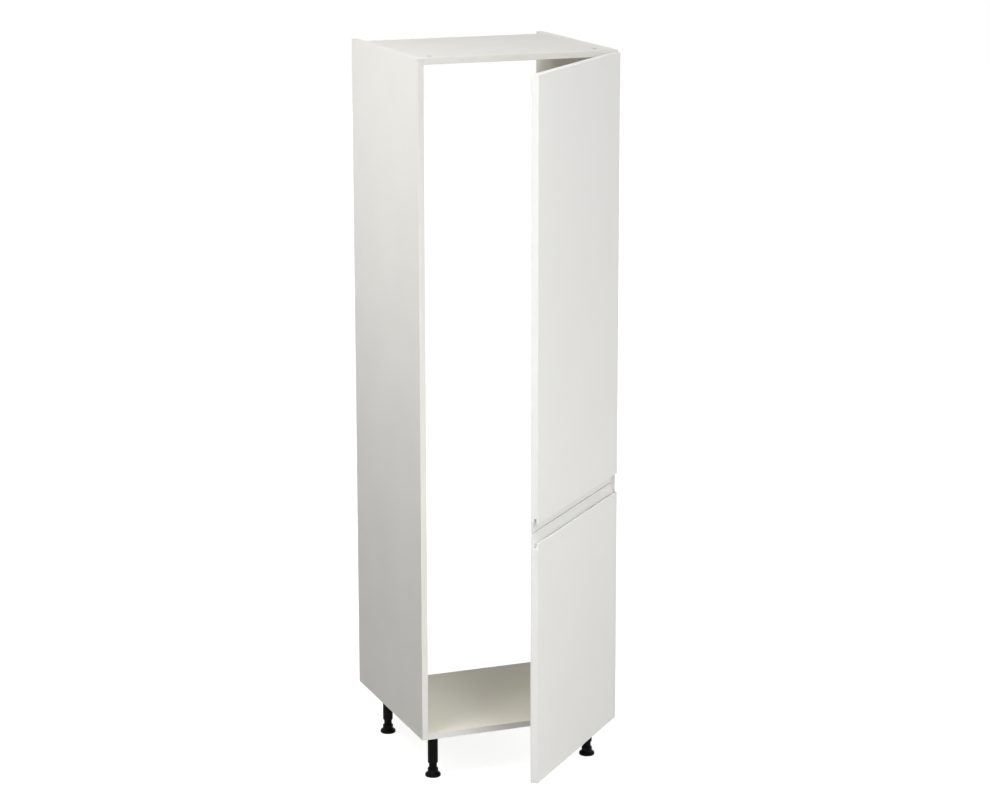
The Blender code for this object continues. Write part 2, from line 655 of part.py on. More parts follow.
def make_doors_and_hinges():
    """Hang both doors on their axis, with five concealed hinges."""
    doors = {
        "lower": ("lower_door", LOWER_DOOR_Z, LOWER_DOOR_HEIGHT, True),
        "upper": ("upper_door", UPPER_DOOR_Z, UPPER_DOOR_HEIGHT, False),
    }
    leaf, links = {}, {}
    for door, (name, low_z, height, pull_on_top) in doors.items():
        leaf[door] = pivot(door + "_door_axis", (AXIS_X, AXIS_Y, 0), REST_OPENING)
        links[door] = pivot(door + "_link_axis", (PIVOT_X, PIVOT_Y, 0), LINK_RATIO * REST_OPENING)
        place(name, door_mesh(name, low_z, height, pull_on_top), DOOR_WHITE, leaf[door])
    cup, link, plate, arm = cup_mesh(), link_mesh(), plate_mesh(), arm_mesh()
    mirrored = Matrix(((-1, 0, 0, 0), (0, 1, 0, 0), (0, 0, -1, 0), (0, 0, 0, 1)))
    for fitting in (plate, arm):
        fitting.transform(mirrored)
    for name, (door, z) in HINGES.items():
        place("hinge_cup_" + name, cup, NICKEL, leaf[door], (0, 0, z))
        place("hinge_link_" + name, link, NICKEL, links[door], (0, 0, z))
        place("hinge_plate_" + name, plate, NICKEL, at=(INNER_X, FRONT_Y, z))
        place("hinge_arm_" + name, arm, NICKEL, at=(INNER_X, FRONT_Y, z))


def leg_plate_mesh():
    """Return a leg's top plate: a screwed flange with the spigot that the tube is pressed on."""
    top = LEG_HEIGHT - SEAT_GAP
    bottom = top - LEG_FLANGE_THICKNESS
    spigot_radius = TUBE_BORE_RADIUS - BORE_CLEARANCE
    spigot_end = bottom - LEG_SPIGOT_LENGTH
    flange = turned("leg_plate", [
        (0, top),
        (LEG_FLANGE_RADIUS, top),
        (LEG_FLANGE_RADIUS, bottom + TUBE_CHAMFER),
        (LEG_FLANGE_RADIUS - TUBE_CHAMFER, bottom),
        (spigot_radius, bottom),
        (spigot_radius, spigot_end),
        (0, spigot_end),
    ])
    holes = []
    for number in range(LEG_SCREW_COUNT):
        angle = 2 * pi * (number + 1 / 2) / LEG_SCREW_COUNT
        x, y = LEG_SCREW_CIRCLE * cos(angle), LEG_SCREW_CIRCLE * sin(angle)
        holes.append(rod("hole", LEG_SCREW_RADIUS, (x, y, bottom - CUT_OVERRUN), (x, y, top + CUT_OVERRUN)))
    return carve(flange, [("DIFFERENCE", gather("leg_screw_holes", holes))])


def leg_tube_mesh():
    """Return a leg's tube, bored through for the spigot above and the screw foot below."""
    top = LEG_HEIGHT - 2 * SEAT_GAP - LEG_FLANGE_THICKNESS
    end = LEG_HEIGHT - TUBE_END
    return turned("leg_tube", [
        (TUBE_BORE_RADIUS, top),
        (TUBE_RADIUS, top),
        (TUBE_RADIUS, end + TUBE_CHAMFER),
        (TUBE_RADIUS - TUBE_CHAMFER, end),
        (TUBE_BORE_RADIUS, end),
    ])


def leg_foot_mesh():
    """Return a screw foot: a stem in the tube, a collar to turn it by and a flared base."""
    stem_top = LEG_HEIGHT - TUBE_END + STEM_ENGAGEMENT
    collar_low = COLLAR_TOP - COLLAR_HEIGHT
    return turned("leg_foot", [
        (0, stem_top),
        (STEM_RADIUS - FOOT_CHAMFER, stem_top),
        (STEM_RADIUS, stem_top - FOOT_CHAMFER),
        (STEM_RADIUS, COLLAR_TOP),
        (COLLAR_RADIUS - FOOT_CHAMFER, COLLAR_TOP),
        (COLLAR_RADIUS, COLLAR_TOP - FOOT_CHAMFER),
        (COLLAR_RADIUS, collar_low),
        (FOOT_SHOULDER_RADIUS, FOOT_SHOULDER_HEIGHT),
        (FOOT_RADIUS, FOOT_RIM),
        (FOOT_RADIUS, FOOT_CHAMFER),
        (FOOT_RADIUS - FOOT_CHAMFER, 0),
        (0, 0),
    ])


def make_legs():
    """Make the four legs, each a plate, a tube and a screw foot."""
    plate, tube, foot = leg_plate_mesh(), leg_tube_mesh(), leg_foot_mesh()
    rows = {"front": FRONT_Y + LEG_FRONT_INSET, "rear": FRONT_Y + BOARD_DEPTH - LEG_REAR_INSET}
    for row, y in rows.items():
        for side, sign in SIDES.items():
            at = (sign * (CARCASS_WIDTH / 2 - LEG_SIDE_INSET), y, 0)
            place(f"leg_plate_{row}_{side}", plate, BLACK_PLASTIC, at=at)
            place(f"leg_tube_{row}_{side}", tube, BLACK_PLASTIC, at=at)
            place(f"leg_foot_{row}_{side}", foot, BLACK_PLASTIC, at=at)


def main():
    """Build the whole unit."""
    clear_scene()
    make_side_panels()
    make_boards()
    make_cam_fittings()
    make_doors_and_hinges()
    make_legs()


main()
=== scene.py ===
"""Dresses the tall fridge housing: boards, doors, concealed hinges, cam fittings and screw legs.

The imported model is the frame. Every piece is modelled in its place there, in metres, and rides on
the body that carries it. X runs across the front, Y from front to back and Z up.
"""

import json
import logging
import math
from collections.abc import Callable, Iterable, Sequence
from dataclasses import dataclass, field
from enum import Enum
from typing import Any

import bmesh
import bpy
from mathutils import Matrix, Vector

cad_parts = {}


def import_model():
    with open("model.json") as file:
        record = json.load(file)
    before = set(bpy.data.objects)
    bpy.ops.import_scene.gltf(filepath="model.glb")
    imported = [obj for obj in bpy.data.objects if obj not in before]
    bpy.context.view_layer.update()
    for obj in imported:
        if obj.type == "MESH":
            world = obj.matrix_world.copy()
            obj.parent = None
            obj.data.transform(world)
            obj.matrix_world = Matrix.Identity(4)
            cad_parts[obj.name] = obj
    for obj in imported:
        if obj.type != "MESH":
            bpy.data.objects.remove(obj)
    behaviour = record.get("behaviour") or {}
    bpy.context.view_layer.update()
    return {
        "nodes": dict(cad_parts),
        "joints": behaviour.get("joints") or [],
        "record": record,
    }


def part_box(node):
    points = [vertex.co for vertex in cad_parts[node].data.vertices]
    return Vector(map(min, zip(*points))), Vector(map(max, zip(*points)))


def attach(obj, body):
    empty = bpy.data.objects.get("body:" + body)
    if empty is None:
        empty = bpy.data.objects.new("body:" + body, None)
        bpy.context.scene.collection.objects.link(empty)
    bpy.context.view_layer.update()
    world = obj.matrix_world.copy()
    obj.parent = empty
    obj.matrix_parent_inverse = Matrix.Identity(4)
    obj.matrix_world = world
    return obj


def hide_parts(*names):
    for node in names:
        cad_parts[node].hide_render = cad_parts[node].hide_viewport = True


LOG = logging.getLogger("fridge_housing")

Point = Sequence[float]
Outline = list[tuple[float, float]]
FaceRule = Callable[[bmesh.types.BMFace], bool]

MM = 0.001
# Edges that bend more than this stay sharp.
SHARP_ANGLE = math.radians(35)
# In square metres: the flat back of a door is larger than this, and its narrow faces are smaller.
FLAT_FACE_AREA = 0.001
# In metres: points closer than this are one.
MERGE_DISTANCE = 0.00001
# A face looks in a direction where the cosine of the angle between the two is over this.
FACING = 0.9
# How far a cutter reaches past what it cuts.
OVERRUN = 2 * MM
# The play between fitted pieces.
SEAT = 0.3 * MM
# How far two faces are set apart so that no two shapes of a Boolean share a plane.
STEP = 0.05 * MM
# How far a board's facing lies behind the scraped rim of its edging.
SCRAPE = 0.12 * MM
# Facets round a turned piece, where it is looked at closely and where it isn't.
FINE = 48
COARSE = 24
# How far a hinge's link turns for each turn of its door.
LINK_SHARE = -0.62
HINGES = {
    "lower_door": ("lower_bottom", "lower_top"),
    "upper_door": ("upper_bottom", "upper_middle", "upper_top"),
}
LEGS = ("front_left", "front_right", "rear_left", "rear_right")


def linear(code: str) -> tuple[float, float, float, float]:
    """Turn an sRGB hex colour into linear RGBA.

    Args:
        code: six hex digits, such as "EDECE8".

    Returns:
        The linear colour with an alpha of 1.
    """
    channels = [int(code[i:i + 2], 16) / 255 for i in (0, 2, 4)]
    red, green, blue = (
        c / 12.92 if c <= 0.04045 else ((c + 0.055) / 1.055) ** 2.4 for c in channels
    )
    return red, green, blue, 1.0


def add_node(
    tree: bpy.types.NodeTree,
    kind: str,
    settings: dict[str | int, Any] | None = None,
    links: dict[str | int, bpy.types.NodeSocket] | None = None,
) -> bpy.types.Node:
    """Add a node with its settings and links.

    Args:
        tree: the node tree to add to.
        kind: the node's type name.
        settings: values by input name or number, or else by the node's own property name.
        links: output sockets to join, by the name or number of the input that they feed.

    Returns:
        The new node.
    """
    node = tree.nodes.new(kind)
    for key, value in (settings or {}).items():
        if isinstance(key, int) or key in node.inputs:
            node.inputs[key].default_value = value
        else:
            setattr(node, key, value)
    for key, socket in (links or {}).items():
        tree.links.new(socket, node.inputs[key])
    return node


class Relief(Enum):
    """How a surface is textured, as the noise's detail, its roughness and its stretch."""

    PEARL = (2.0, 0.45, (1.0, 1.0, 1.0))
    ORANGE_PEEL = (1.0, 0.30, (1.0, 1.0, 1.0))
    SPARK_ERODED = (4.0, 0.65, (1.0, 1.0, 1.0))
    ROLLED = (3.0, 0.55, (1.0, 1.0, 0.12))
    AS_CAST = (5.0, 0.60, (1.0, 1.0, 1.0))


@dataclass(frozen=True)
class Finish:
    """One finish of the real object, written as typical values of its material.

    Attributes:
        name: what the real one is.
        colour: its main colour, as sRGB hex.
        tone: the colour that it drifts to in soft patches, as sRGB hex.
        roughness: its roughness at the middle of its range.
        sheen_drift: how far the roughness swings around that.
        patch_mm: size of the soft patches.
        grain_mm: size of the surface grain.
        depth_mm: height of the surface grain.
        relief: how the grain is made.
        metallic: 1 for bare or plated metal.
        ior: index of refraction, left at its default for metals.
        coat: weight of a clear top layer.
        coat_roughness: roughness of that layer.
        specular: how strongly it mirrors next to its index of refraction, 0.5 being all of it.
    """

    name: str
    colour: str
    tone: str
    roughness: float
    sheen_drift: float
    patch_mm: float
    grain_mm: float
    depth_mm: float
    relief: Relief
    metallic: float = 0.0
    ior: float = 1.5
    coat: float = 0.0
    coat_roughness: float = 0.3
    specular: float = 0.5

    # The noise of the soft patches, and where in its range they fade from one tone to the other.
    PATCHES = {"Detail": 3.0, "Roughness": 0.55}
    FADE = {"From Min": 0.35, "From Max": 0.65}

    def build(self) -> bpy.types.Material:
        """Return the finish as a node material, made once and shared after that."""
        made = bpy.data.materials.get(self.name)
        if made is not None:
            return made
        made = bpy.data.materials.new(self.name)
        made.use_nodes = True
        tree = made.node_tree
        shader = tree.nodes["Principled BSDF"]
        shader.inputs["Metallic"].default_value = self.metallic
        shader.inputs["IOR"].default_value = self.ior
        shader.inputs["Specular IOR Level"].default_value = self.specular
        shader.inputs["Coat Weight"].default_value = self.coat
        shader.inputs["Coat Roughness"].default_value = self.coat_roughness
        detail, falloff, stretch = self.relief.value
        place = add_node(tree, "ShaderNodeTexCoord").outputs["Object"]
        patches = add_node(
            tree, "ShaderNodeTexNoise",
            {"Scale": 1 / (self.patch_mm * MM), **self.PATCHES}, {"Vector": place},
        ).outputs["Fac"]
        shade = add_node(tree, "ShaderNodeMapRange", self.FADE, {"Value": patches}).outputs["Result"]
        mixed = add_node(
            tree, "ShaderNodeMix",
            {"data_type": "RGBA", 6: linear(self.colour), 7: linear(self.tone)}, {0: shade},
        ).outputs[2]
        tree.links.new(mixed, shader.inputs["Base Color"])
        gloss = add_node(
            tree, "ShaderNodeMapRange",
            {**self.FADE, "To Min": self.roughness - self.sheen_drift,
             "To Max": self.roughness + self.sheen_drift},
            {"Value": patches},
        ).outputs["Result"]
        tree.links.new(gloss, shader.inputs["Roughness"])
        stretched = add_node(
            tree, "ShaderNodeMapping", {"Scale": stretch}, {"Vector": place}
        ).outputs["Vector"]
        grain = add_node(
            tree, "ShaderNodeTexNoise",
            {"Scale": 1 / (self.grain_mm * MM), "Detail": detail, "Roughness": falloff},
            {"Vector": stretched},
        ).outputs["Fac"]
        bump = add_node(
            tree, "ShaderNodeBump", {"Strength": 1.0, "Distance": self.depth_mm * MM},
            {"Height": grain},
        ).outputs["Normal"]
        tree.links.new(bump, shader.inputs["Normal"])
        return made


# Chipboard faced with white melamine paper, pressed with a fine pearl: it scatters light softly, and
# its white is a shade warm. The pearl is about 0.6 mm, drawn at 2.4 mm so that it shows.
MELAMINE = Finish(
    "melamine_faced_chipboard", "E9E8E4", "E7E6E2", 0.50, 0.015, 160, 2.4, 0.030, Relief.PEARL
)
# The faces inside the housing take a creamier copy of the same paper: painted warm shade, the olive
# cast of the shade inside the housing.
WARM_SHADE_MELAMINE = Finish(
    "melamine_inner_face_painted_warm_shade", "E8E5DA", "E6E3D7", 0.50, 0.015, 160, 2.4, 0.030, Relief.PEARL
)
# ABS edging, extruded and scraped flush: a touch smoother and whiter than the boards' faces, with low
# waves about 3 mm apart.
EDGING = Finish(
    "abs_edge_banding", "EDECE9", "EBEAE6", 0.46, 0.02, 90, 3.0, 0.012, Relief.ORANGE_PEEL
)
# White foil drawn over a routed fibreboard door: even and satin, with a very low orange peel of about
# 9 mm from wave to wave.
DOOR_FOIL = Finish(
    "vinyl_wrapped_fibreboard", "EEEEEC", "EDEDEB", 0.36, 0.015, 200, 9.0, 0.016, Relief.ORANGE_PEEL,
    coat=0.12, coat_roughness=0.25,
)
# The back of such a door is plain melamine, a little warmer than the foil.
DOOR_BACK = Finish(
    "melamine_door_backing", "E8E7E2", "E6E5DF", 0.48, 0.015, 160, 2.4, 0.030, Relief.PEARL
)
# Black moulded polypropylene with a spark eroded grain: dull, with soft highlights on its edges. The
# grain is about 0.2 mm, drawn at 0.9 mm so that it shows. Its mirror is set well under what
# polypropylene has, matched to the legs' near black in a white room.
POLYPROPYLENE = Finish(
    "moulded_polypropylene", "050505", "070707", 0.48, 0.05, 9, 0.9, 0.030, Relief.SPARK_ERODED,
    ior=1.49, specular=0.07,
)
# Nickel plate over pressed steel strip: bright and slightly warm, with rolling marks. They are about
# 0.1 mm apart, drawn at 0.8 mm so that they show.
NICKEL = Finish(
    "nickel_plated_steel", "C9C5BC", "C4C0B7", 0.24, 0.03, 12, 0.8, 0.006, Relief.ROLLED, metallic=1.0
)
# Zinc die casting, tumbled and left bare: grey, with a dull grain of about 0.5 mm.
ZINC = Finish(
    "die_cast_zinc", "9A9C9D", "86888A", 0.42, 0.07, 3, 0.5, 0.015, Relief.AS_CAST, metallic=1.0
)
# Zinc plated screws: cooler and brighter than the nickel around them, with fine turning marks.
PLATED = Finish(
    "zinc_plated_screw", "C6C9CC", "B2B6BA", 0.28, 0.05, 2, 0.4, 0.004, Relief.ROLLED, metallic=1.0
)


def toward(direction: Point) -> Matrix:
    """Return the turn that takes +Z to a direction."""
    return Vector(direction).to_track_quat("Z", "Y").to_matrix().to_4x4()


def arc(center: Point, radius: float, start: float, end: float, steps: int) -> Outline:
    """Return points on an arc.

    Args:
        center: the arc's centre.
        radius: its radius.
        start: its first angle, in quarter turns.
        end: its last angle, in quarter turns.
        steps: how many straight pieces it has.

    Returns:
        The points, both ends included.
    """
    turns = [(start + (end - start) * step / steps) * math.pi / 2 for step in range(steps + 1)]
    return [(center[0] + radius * math.cos(t), center[1] + radius * math.sin(t)) for t in turns]


def corner(tip: Point, radius: float, start: float, end: float, steps: int) -> Outline:
    """Return the arc that rounds a square corner off.

    Args:
        tip: where the sharp corner would be.
        radius: the rounding's radius.
        start: its first angle, in quarter turns.
        end: its last angle, a quarter turn from the first.
        steps: how many straight pieces it has.

    Returns:
        The points, both ends included.
    """
    middle = (start + end) * math.pi / 4
    center = (
        tip[0] - math.copysign(radius, math.cos(middle)),
        tip[1] - math.copysign(radius, math.sin(middle)),
    )
    return arc(center, radius, start, end, steps)


def barrel(radius: float, half: float, ease: float) -> Outline:
    """Return the half section of a pin about height zero, its ends rounded by ease."""
    return [
        (0, -half), *corner((radius, -half), ease, -1, 0, 3), *corner((radius, half), ease, 0, 1, 3),
        (0, half),
    ]


def bezier(points: Sequence[Point], steps: int) -> Outline:
    """Return points on the cubic curve with these four control points."""
    path = []
    for step in range(steps + 1):
        t = step / steps
        weights = ((1 - t) ** 3, 3 * t * (1 - t) ** 2, 3 * t * t * (1 - t), t**3)
        path.append(tuple(sum(w * p[i] for w, p in zip(weights, points)) for i in (0, 1)))
    return path


def stadium(center: Point, half_width: float, length: float, steps: int = 12) -> Outline:
    """Return a slot's outline, round at both ends, its length along the second coordinate."""
    run = length / 2 - half_width
    return [
        *arc((center[0], center[1] + run), half_width, 0, 2, steps),
        *arc((center[0], center[1] - run), half_width, 2, 4, steps),
    ]


class Solid:
    """A closed mesh in the making, with the few operations that the pieces need."""

    def __init__(self) -> None:
        """Start with no geometry."""
        self.bm = bmesh.new()

    @staticmethod
    def box(low: Point, high: Point, arris: float = 0.0, segments: int = 2) -> "Solid":
        """Make a box between two corners, its edges rounded where arris is set."""
        made = Solid()
        bmesh.ops.create_cube(made.bm, size=1)
        bmesh.ops.scale(made.bm, vec=Vector(high) - Vector(low), verts=made.bm.verts)
        bmesh.ops.translate(made.bm, vec=(Vector(low) + Vector(high)) / 2, verts=made.bm.verts)
        return made.rounded(arris, segments) if arris else made

    @staticmethod
    def lathe(profile: Outline, steps: int = FINE) -> "Solid":
        """Turn a (radius, height) profile about Z.

        Args:
            profile: the half section, either closed on the axis or an open ring's full outline.
            steps: how many facets go round.

        Returns:
            The turned solid, its faces pointing outwards.
        """
        made = Solid()
        points = [made.bm.verts.new((radius, 0, height)) for radius, height in profile]
        edges = [made.bm.edges.new(pair) for pair in zip(points, points[1:])]
        if profile[0][0] > 0:
            edges.append(made.bm.edges.new((points[-1], points[0])))
        bmesh.ops.spin(
            made.bm, geom=edges, cent=(0, 0, 0), axis=(0, 0, 1), dvec=(0, 0, 0),
            angle=2 * math.pi, steps=steps, use_merge=True,
        )
        return made.tidy()

    @staticmethod
    def rod(radius: float, start: Point, end: Point, steps: int = COARSE) -> "Solid":
        """Make a plain rod between two points, to cut with or to round off."""
        along = Vector(end) - Vector(start)
        made = Solid()
        bmesh.ops.create_cone(
            made.bm, cap_ends=True, segments=steps, radius1=radius, radius2=radius, depth=along.length
        )
        return made.moved(Matrix.Translation((Vector(start) + Vector(end)) / 2) @ toward(along))

    @staticmethod
    def extruded(outline: Outline, low: float, high: float, chamfer: float = 0.0) -> "Solid":
        """Extrude an outline from one height to another.

        Args:
            outline: the closed outline in X and Y.
            low: the height of the first end.
            high: the height of the second end.
            chamfer: how far both ends' arrises are drawn in.

        Returns:
            The extruded solid.
        """
        made = Solid()
        face = made.bm.faces.new([made.bm.verts.new((x, y, low + chamfer)) for x, y in outline])
        swept = bmesh.ops.extrude_face_region(made.bm, geom=[face])
        moved = [item for item in swept["geom"] if isinstance(item, bmesh.types.BMVert)]
        bmesh.ops.translate(made.bm, vec=(0, 0, high - low - 2 * chamfer), verts=moved)
        made.tidy()
        if chamfer:
            ends = [
                f for f in made.bm.faces
                if abs(f.normal.z) > FACING and len(f.verts) == len(outline)
            ]
            bmesh.ops.inset_individual(
                made.bm, faces=ends, thickness=chamfer, depth=chamfer, use_even_offset=True
            )
        return made

    def tidy(self) -> "Solid":
        """Merge doubled points and point every face outwards."""
        bmesh.ops.remove_doubles(self.bm, verts=self.bm.verts, dist=MERGE_DISTANCE)
        bmesh.ops.recalc_face_normals(self.bm, faces=self.bm.faces)
        return self

    def moved(self, matrix: Matrix) -> "Solid":
        """Carry the solid by a matrix."""
        bmesh.ops.transform(self.bm, matrix=matrix, verts=self.bm.verts)
        return self

    def rounded(self, radius: float, segments: int = 2, rule: Callable | None = None) -> "Solid":
        """Round edges.

        Args:
            radius: how far the rounding reaches from each edge.
            segments: how many facets it has.
            rule: which edges it takes; all of them if it is left out.

        Returns:
            This solid.
        """
        edges = [edge for edge in self.bm.edges if rule is None or rule(edge)]
        bmesh.ops.bevel(
            self.bm, geom=edges, offset=radius, segments=segments, profile=0.5, affect="EDGES",
            material=-1, clamp_overlap=True,
        )
        return self

    def panelled(self, rule: FaceRule, margin: float, step: float, index: int) -> "Solid":
        """Draw a margin round faces and set what lies inside it a hair back.

        Args:
            rule: which faces get the margin.
            margin: its width.
            step: how far the inside lies back.
            index: the material number of the inside.

        Returns:
            This solid.
        """
        for face in [f for f in self.bm.faces if rule(f)]:
            bmesh.ops.inset_region(self.bm, faces=[face], thickness=margin, use_even_offset=True)
            bmesh.ops.inset_region(
                self.bm, faces=[face], thickness=step, depth=-step, use_even_offset=True
            )
            face.material_index = index
        return self

    def add(self, *others: "Solid") -> "Solid":
        """Join other solids to this one as bodies of their own."""
        for other in others:
            mesh = bpy.data.meshes.new("joining")
            other.bm.to_mesh(mesh)
            self.bm.from_mesh(mesh)
            bpy.data.meshes.remove(mesh)
        return self

    def carved(self, steps: Iterable[tuple[str, "Solid"]]) -> "Solid":
        """Apply Boolean steps, each an operation and the solid that it uses."""
        body = self.shown("carving")
        tools = []
        for operation, tool in steps:
            tools.append(tool.shown("tool"))
            boolean = body.modifiers.new(operation.lower(), "BOOLEAN")
            boolean.operation = operation
            boolean.solver = "EXACT"
            boolean.object = tools[-1]
        graph = bpy.context.evaluated_depsgraph_get()
        mesh = bpy.data.meshes.new_from_object(body.evaluated_get(graph), depsgraph=graph)
        self.bm.clear()
        self.bm.from_mesh(mesh)
        bpy.data.meshes.remove(mesh)
        bmesh.ops.dissolve_degenerate(self.bm, dist=MERGE_DISTANCE, edges=self.bm.edges)
        for used in (body, *tools):
            old = used.data
            bpy.data.objects.remove(used, do_unlink=True)
            bpy.data.meshes.remove(old)
        return self

    def cut(self, *tools: "Solid") -> "Solid":
        """Cut other solids out of this one."""
        return self.carved([("DIFFERENCE", tool) for tool in tools])

    def shown(self, name: str) -> bpy.types.Object:
        """Return the solid as an object in the scene, smooth but for its sharp edges."""
        mesh = bpy.data.meshes.new(name)
        self.bm.to_mesh(mesh)
        mesh.set_sharp_from_angle(angle=SHARP_ANGLE)
        made = bpy.data.objects.new(name, mesh)
        bpy.context.scene.collection.objects.link(made)
        return made

    def piece(
        self,
        name: str,
        finishes: Finish | Sequence[Finish],
        body: str,
        slot: str,
        replaces: Sequence[str] = (),
    ) -> bpy.types.Object:
        """Put the solid in the scene as a finished piece.

        Args:
            name: the piece's name.
            finishes: its finish, or one for each material number.
            body: the body that it rides on.
            slot: the record's material slot of the piece; not used.
            replaces: the nodes that it stands for.

        Returns:
            The piece's object.
        """
        made = self.shown(name)
        for finish in [finishes] if isinstance(finishes, Finish) else finishes:
            made.data.materials.append(finish.build())
        made.modifiers.new("flat_faces_stay_flat", "WEIGHTED_NORMAL").keep_sharp = True
        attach(made, body)
        if replaces:
            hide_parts(*replaces)
        LOG.info("%s: %d faces, on %s", name, len(made.data.polygons), body)
        return made


@dataclass(frozen=True)
class Screw:
    """A cross-recessed screw head, standing on the surface that it holds down.

    Attributes:
        radius: the head's radius.
        height: the head's height.
        neck: the radius of what goes down through the hole.
        depth: how far the neck goes down.
        hole: the radius of that hole, where it is round.
        crown: control points of the head's curve, as shares of its radius and height.
        arm: half the length of the recess's arms, as a share of the radius.
        slit: half their width, as a share of the radius.
        floor: height of the recess's floor, as a share of the head's height.
    """

    radius: float
    height: float
    neck: float
    depth: float
    hole: float = 0.0
    crown: Sequence[Point] = ((1.0, 0.35), (0.96, 0.8), (0.6, 1.0), (0.0, 1.0))
    arm: float = 0.58
    slit: float = 0.13
    floor: float = 0.25

    def solid(self, at: Point, facing: Point, turn: float = 0.0) -> Solid:
        """Model the head.

        Args:
            at: where the head's underside sits.
            facing: the direction that the head looks in.
            turn: how far the recess is turned about the screw, in radians.

        Returns:
            The head with its recess and neck.
        """
        crown = bezier([(self.radius * r, self.height * h) for r, h in self.crown], 6)
        head = Solid.lathe([
            (0, -self.depth), (self.neck, -self.depth), (self.neck, 0), (self.radius, 0), *crown,
        ], COARSE)
        arm, slit = self.arm * self.radius, self.slit * self.radius
        floor, top = self.floor * self.height, self.height + OVERRUN
        head.cut(
            Solid.box((-arm, -slit, floor), (arm, slit, top)),
            Solid.box((-slit, -arm, floor), (slit, arm, top)),
        )
        return head.moved(Matrix.Translation(at) @ toward(facing) @ Matrix.Rotation(turn, 4, "Z"))


CUP_SCREW = Screw(3.6 * MM, 1.9 * MM, 2.0 * MM, 0.8 * MM, hole=2.2 * MM)
PLATE_SCREW = Screw(3.9 * MM, 2.0 * MM, 2.3 * MM, 1.2 * MM, hole=2.5 * MM)
CLAMP_SCREW = Screw(4.2 * MM, 1.8 * MM, 2.2 * MM, 1.2 * MM)
SETTING_SCREW = Screw(3.0 * MM, 0.9 * MM, 1.6 * MM, 0.4 * MM)
LEG_SCREW = Screw(3.8 * MM, 1.9 * MM, 2.1 * MM, 1.0 * MM, hole=2.2 * MM)


@dataclass
class Carcass:
    """The boards: two side panels, the top board and the floor board, with edged rims.

    Attributes:
        band: thickness of the edging, seen as a line round each face.
        scrape: how far the faces lie behind the edging's scraped edge.
        arris: rounding of the edging's outer corners.
        cam_bore: radius of the holes that the cams sit in.
        bore_depth: depth of those holes.
    """

    band: float = 1.0 * MM
    scrape: float = SCRAPE
    arris: float = 0.7 * MM
    cam_bore: float = 7.8 * MM
    bore_depth: float = 13.1 * MM

    def board(self, node: str, outward: Point) -> Solid:
        """Model one board.

        Args:
            node: the board's node.
            outward: the direction that its outer face looks in.

        Returns:
            The board with its edging, its outer face and its inner face.
        """
        low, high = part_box(node)
        made = Solid.box(low, high)
        for index, facing in ((1, Vector(outward)), (2, -Vector(outward))):
            made.panelled(
                lambda face: face.normal.dot(facing) > FACING, self.band, self.scrape, index)
        rim = self.band / 2

        def outer(edge: bmesh.types.BMEdge) -> bool:
            ends = edge.verts
            on = [
                all(min(abs(v.co[i] - low[i]), abs(v.co[i] - high[i])) < rim / 2 for v in ends)
                for i in range(3)
            ]
            return sum(on) >= 2

        return made.rounded(self.arris, 3, outer)

    def build(self) -> None:
        """Make the four boards."""
        # The inner faces take the creamier copy of the paper, which paints the warm cast of the shade
        # inside.
        faces = (EDGING, MELAMINE, WARM_SHADE_MELAMINE)
        for node, side in (("left_side_panel", -1), ("right_side_panel", 1)):
            self.board(node, (side, 0, 0)).piece(
                node + "_faced", faces, "carcass", "melamine_board", [node])
        for node, side in (("top_board", 1), ("floor_board", -1)):
            low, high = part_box(node)
            face_z = high.z if side > 0 else low.z
            bores = Solid()
            for cam in cam_nodes(node):
                middle = center_of(cam)
                bores.add(Solid.rod(
                    self.cam_bore, (middle.x, middle.y, face_z + side * OVERRUN),
                    (middle.x, middle.y, face_z - side * self.bore_depth), FINE))
            made = self.board(node, (0, 0, side)).cut(bores)
            made.piece(node + "_faced", faces, "carcass", "melamine_board", [node])


def center_of(node: str) -> Vector:
    """Return the middle of a node's box."""
    low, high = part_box(node)
    return (low + high) / 2


def cam_nodes(board: str) -> list[str]:
    """Return the nodes of the cams in a board."""
    prefix = "cam_" + board.removesuffix("_board")
    return [f"{prefix}_{row}_{side}" for row in ("front", "rear") for side in ("left", "right")]


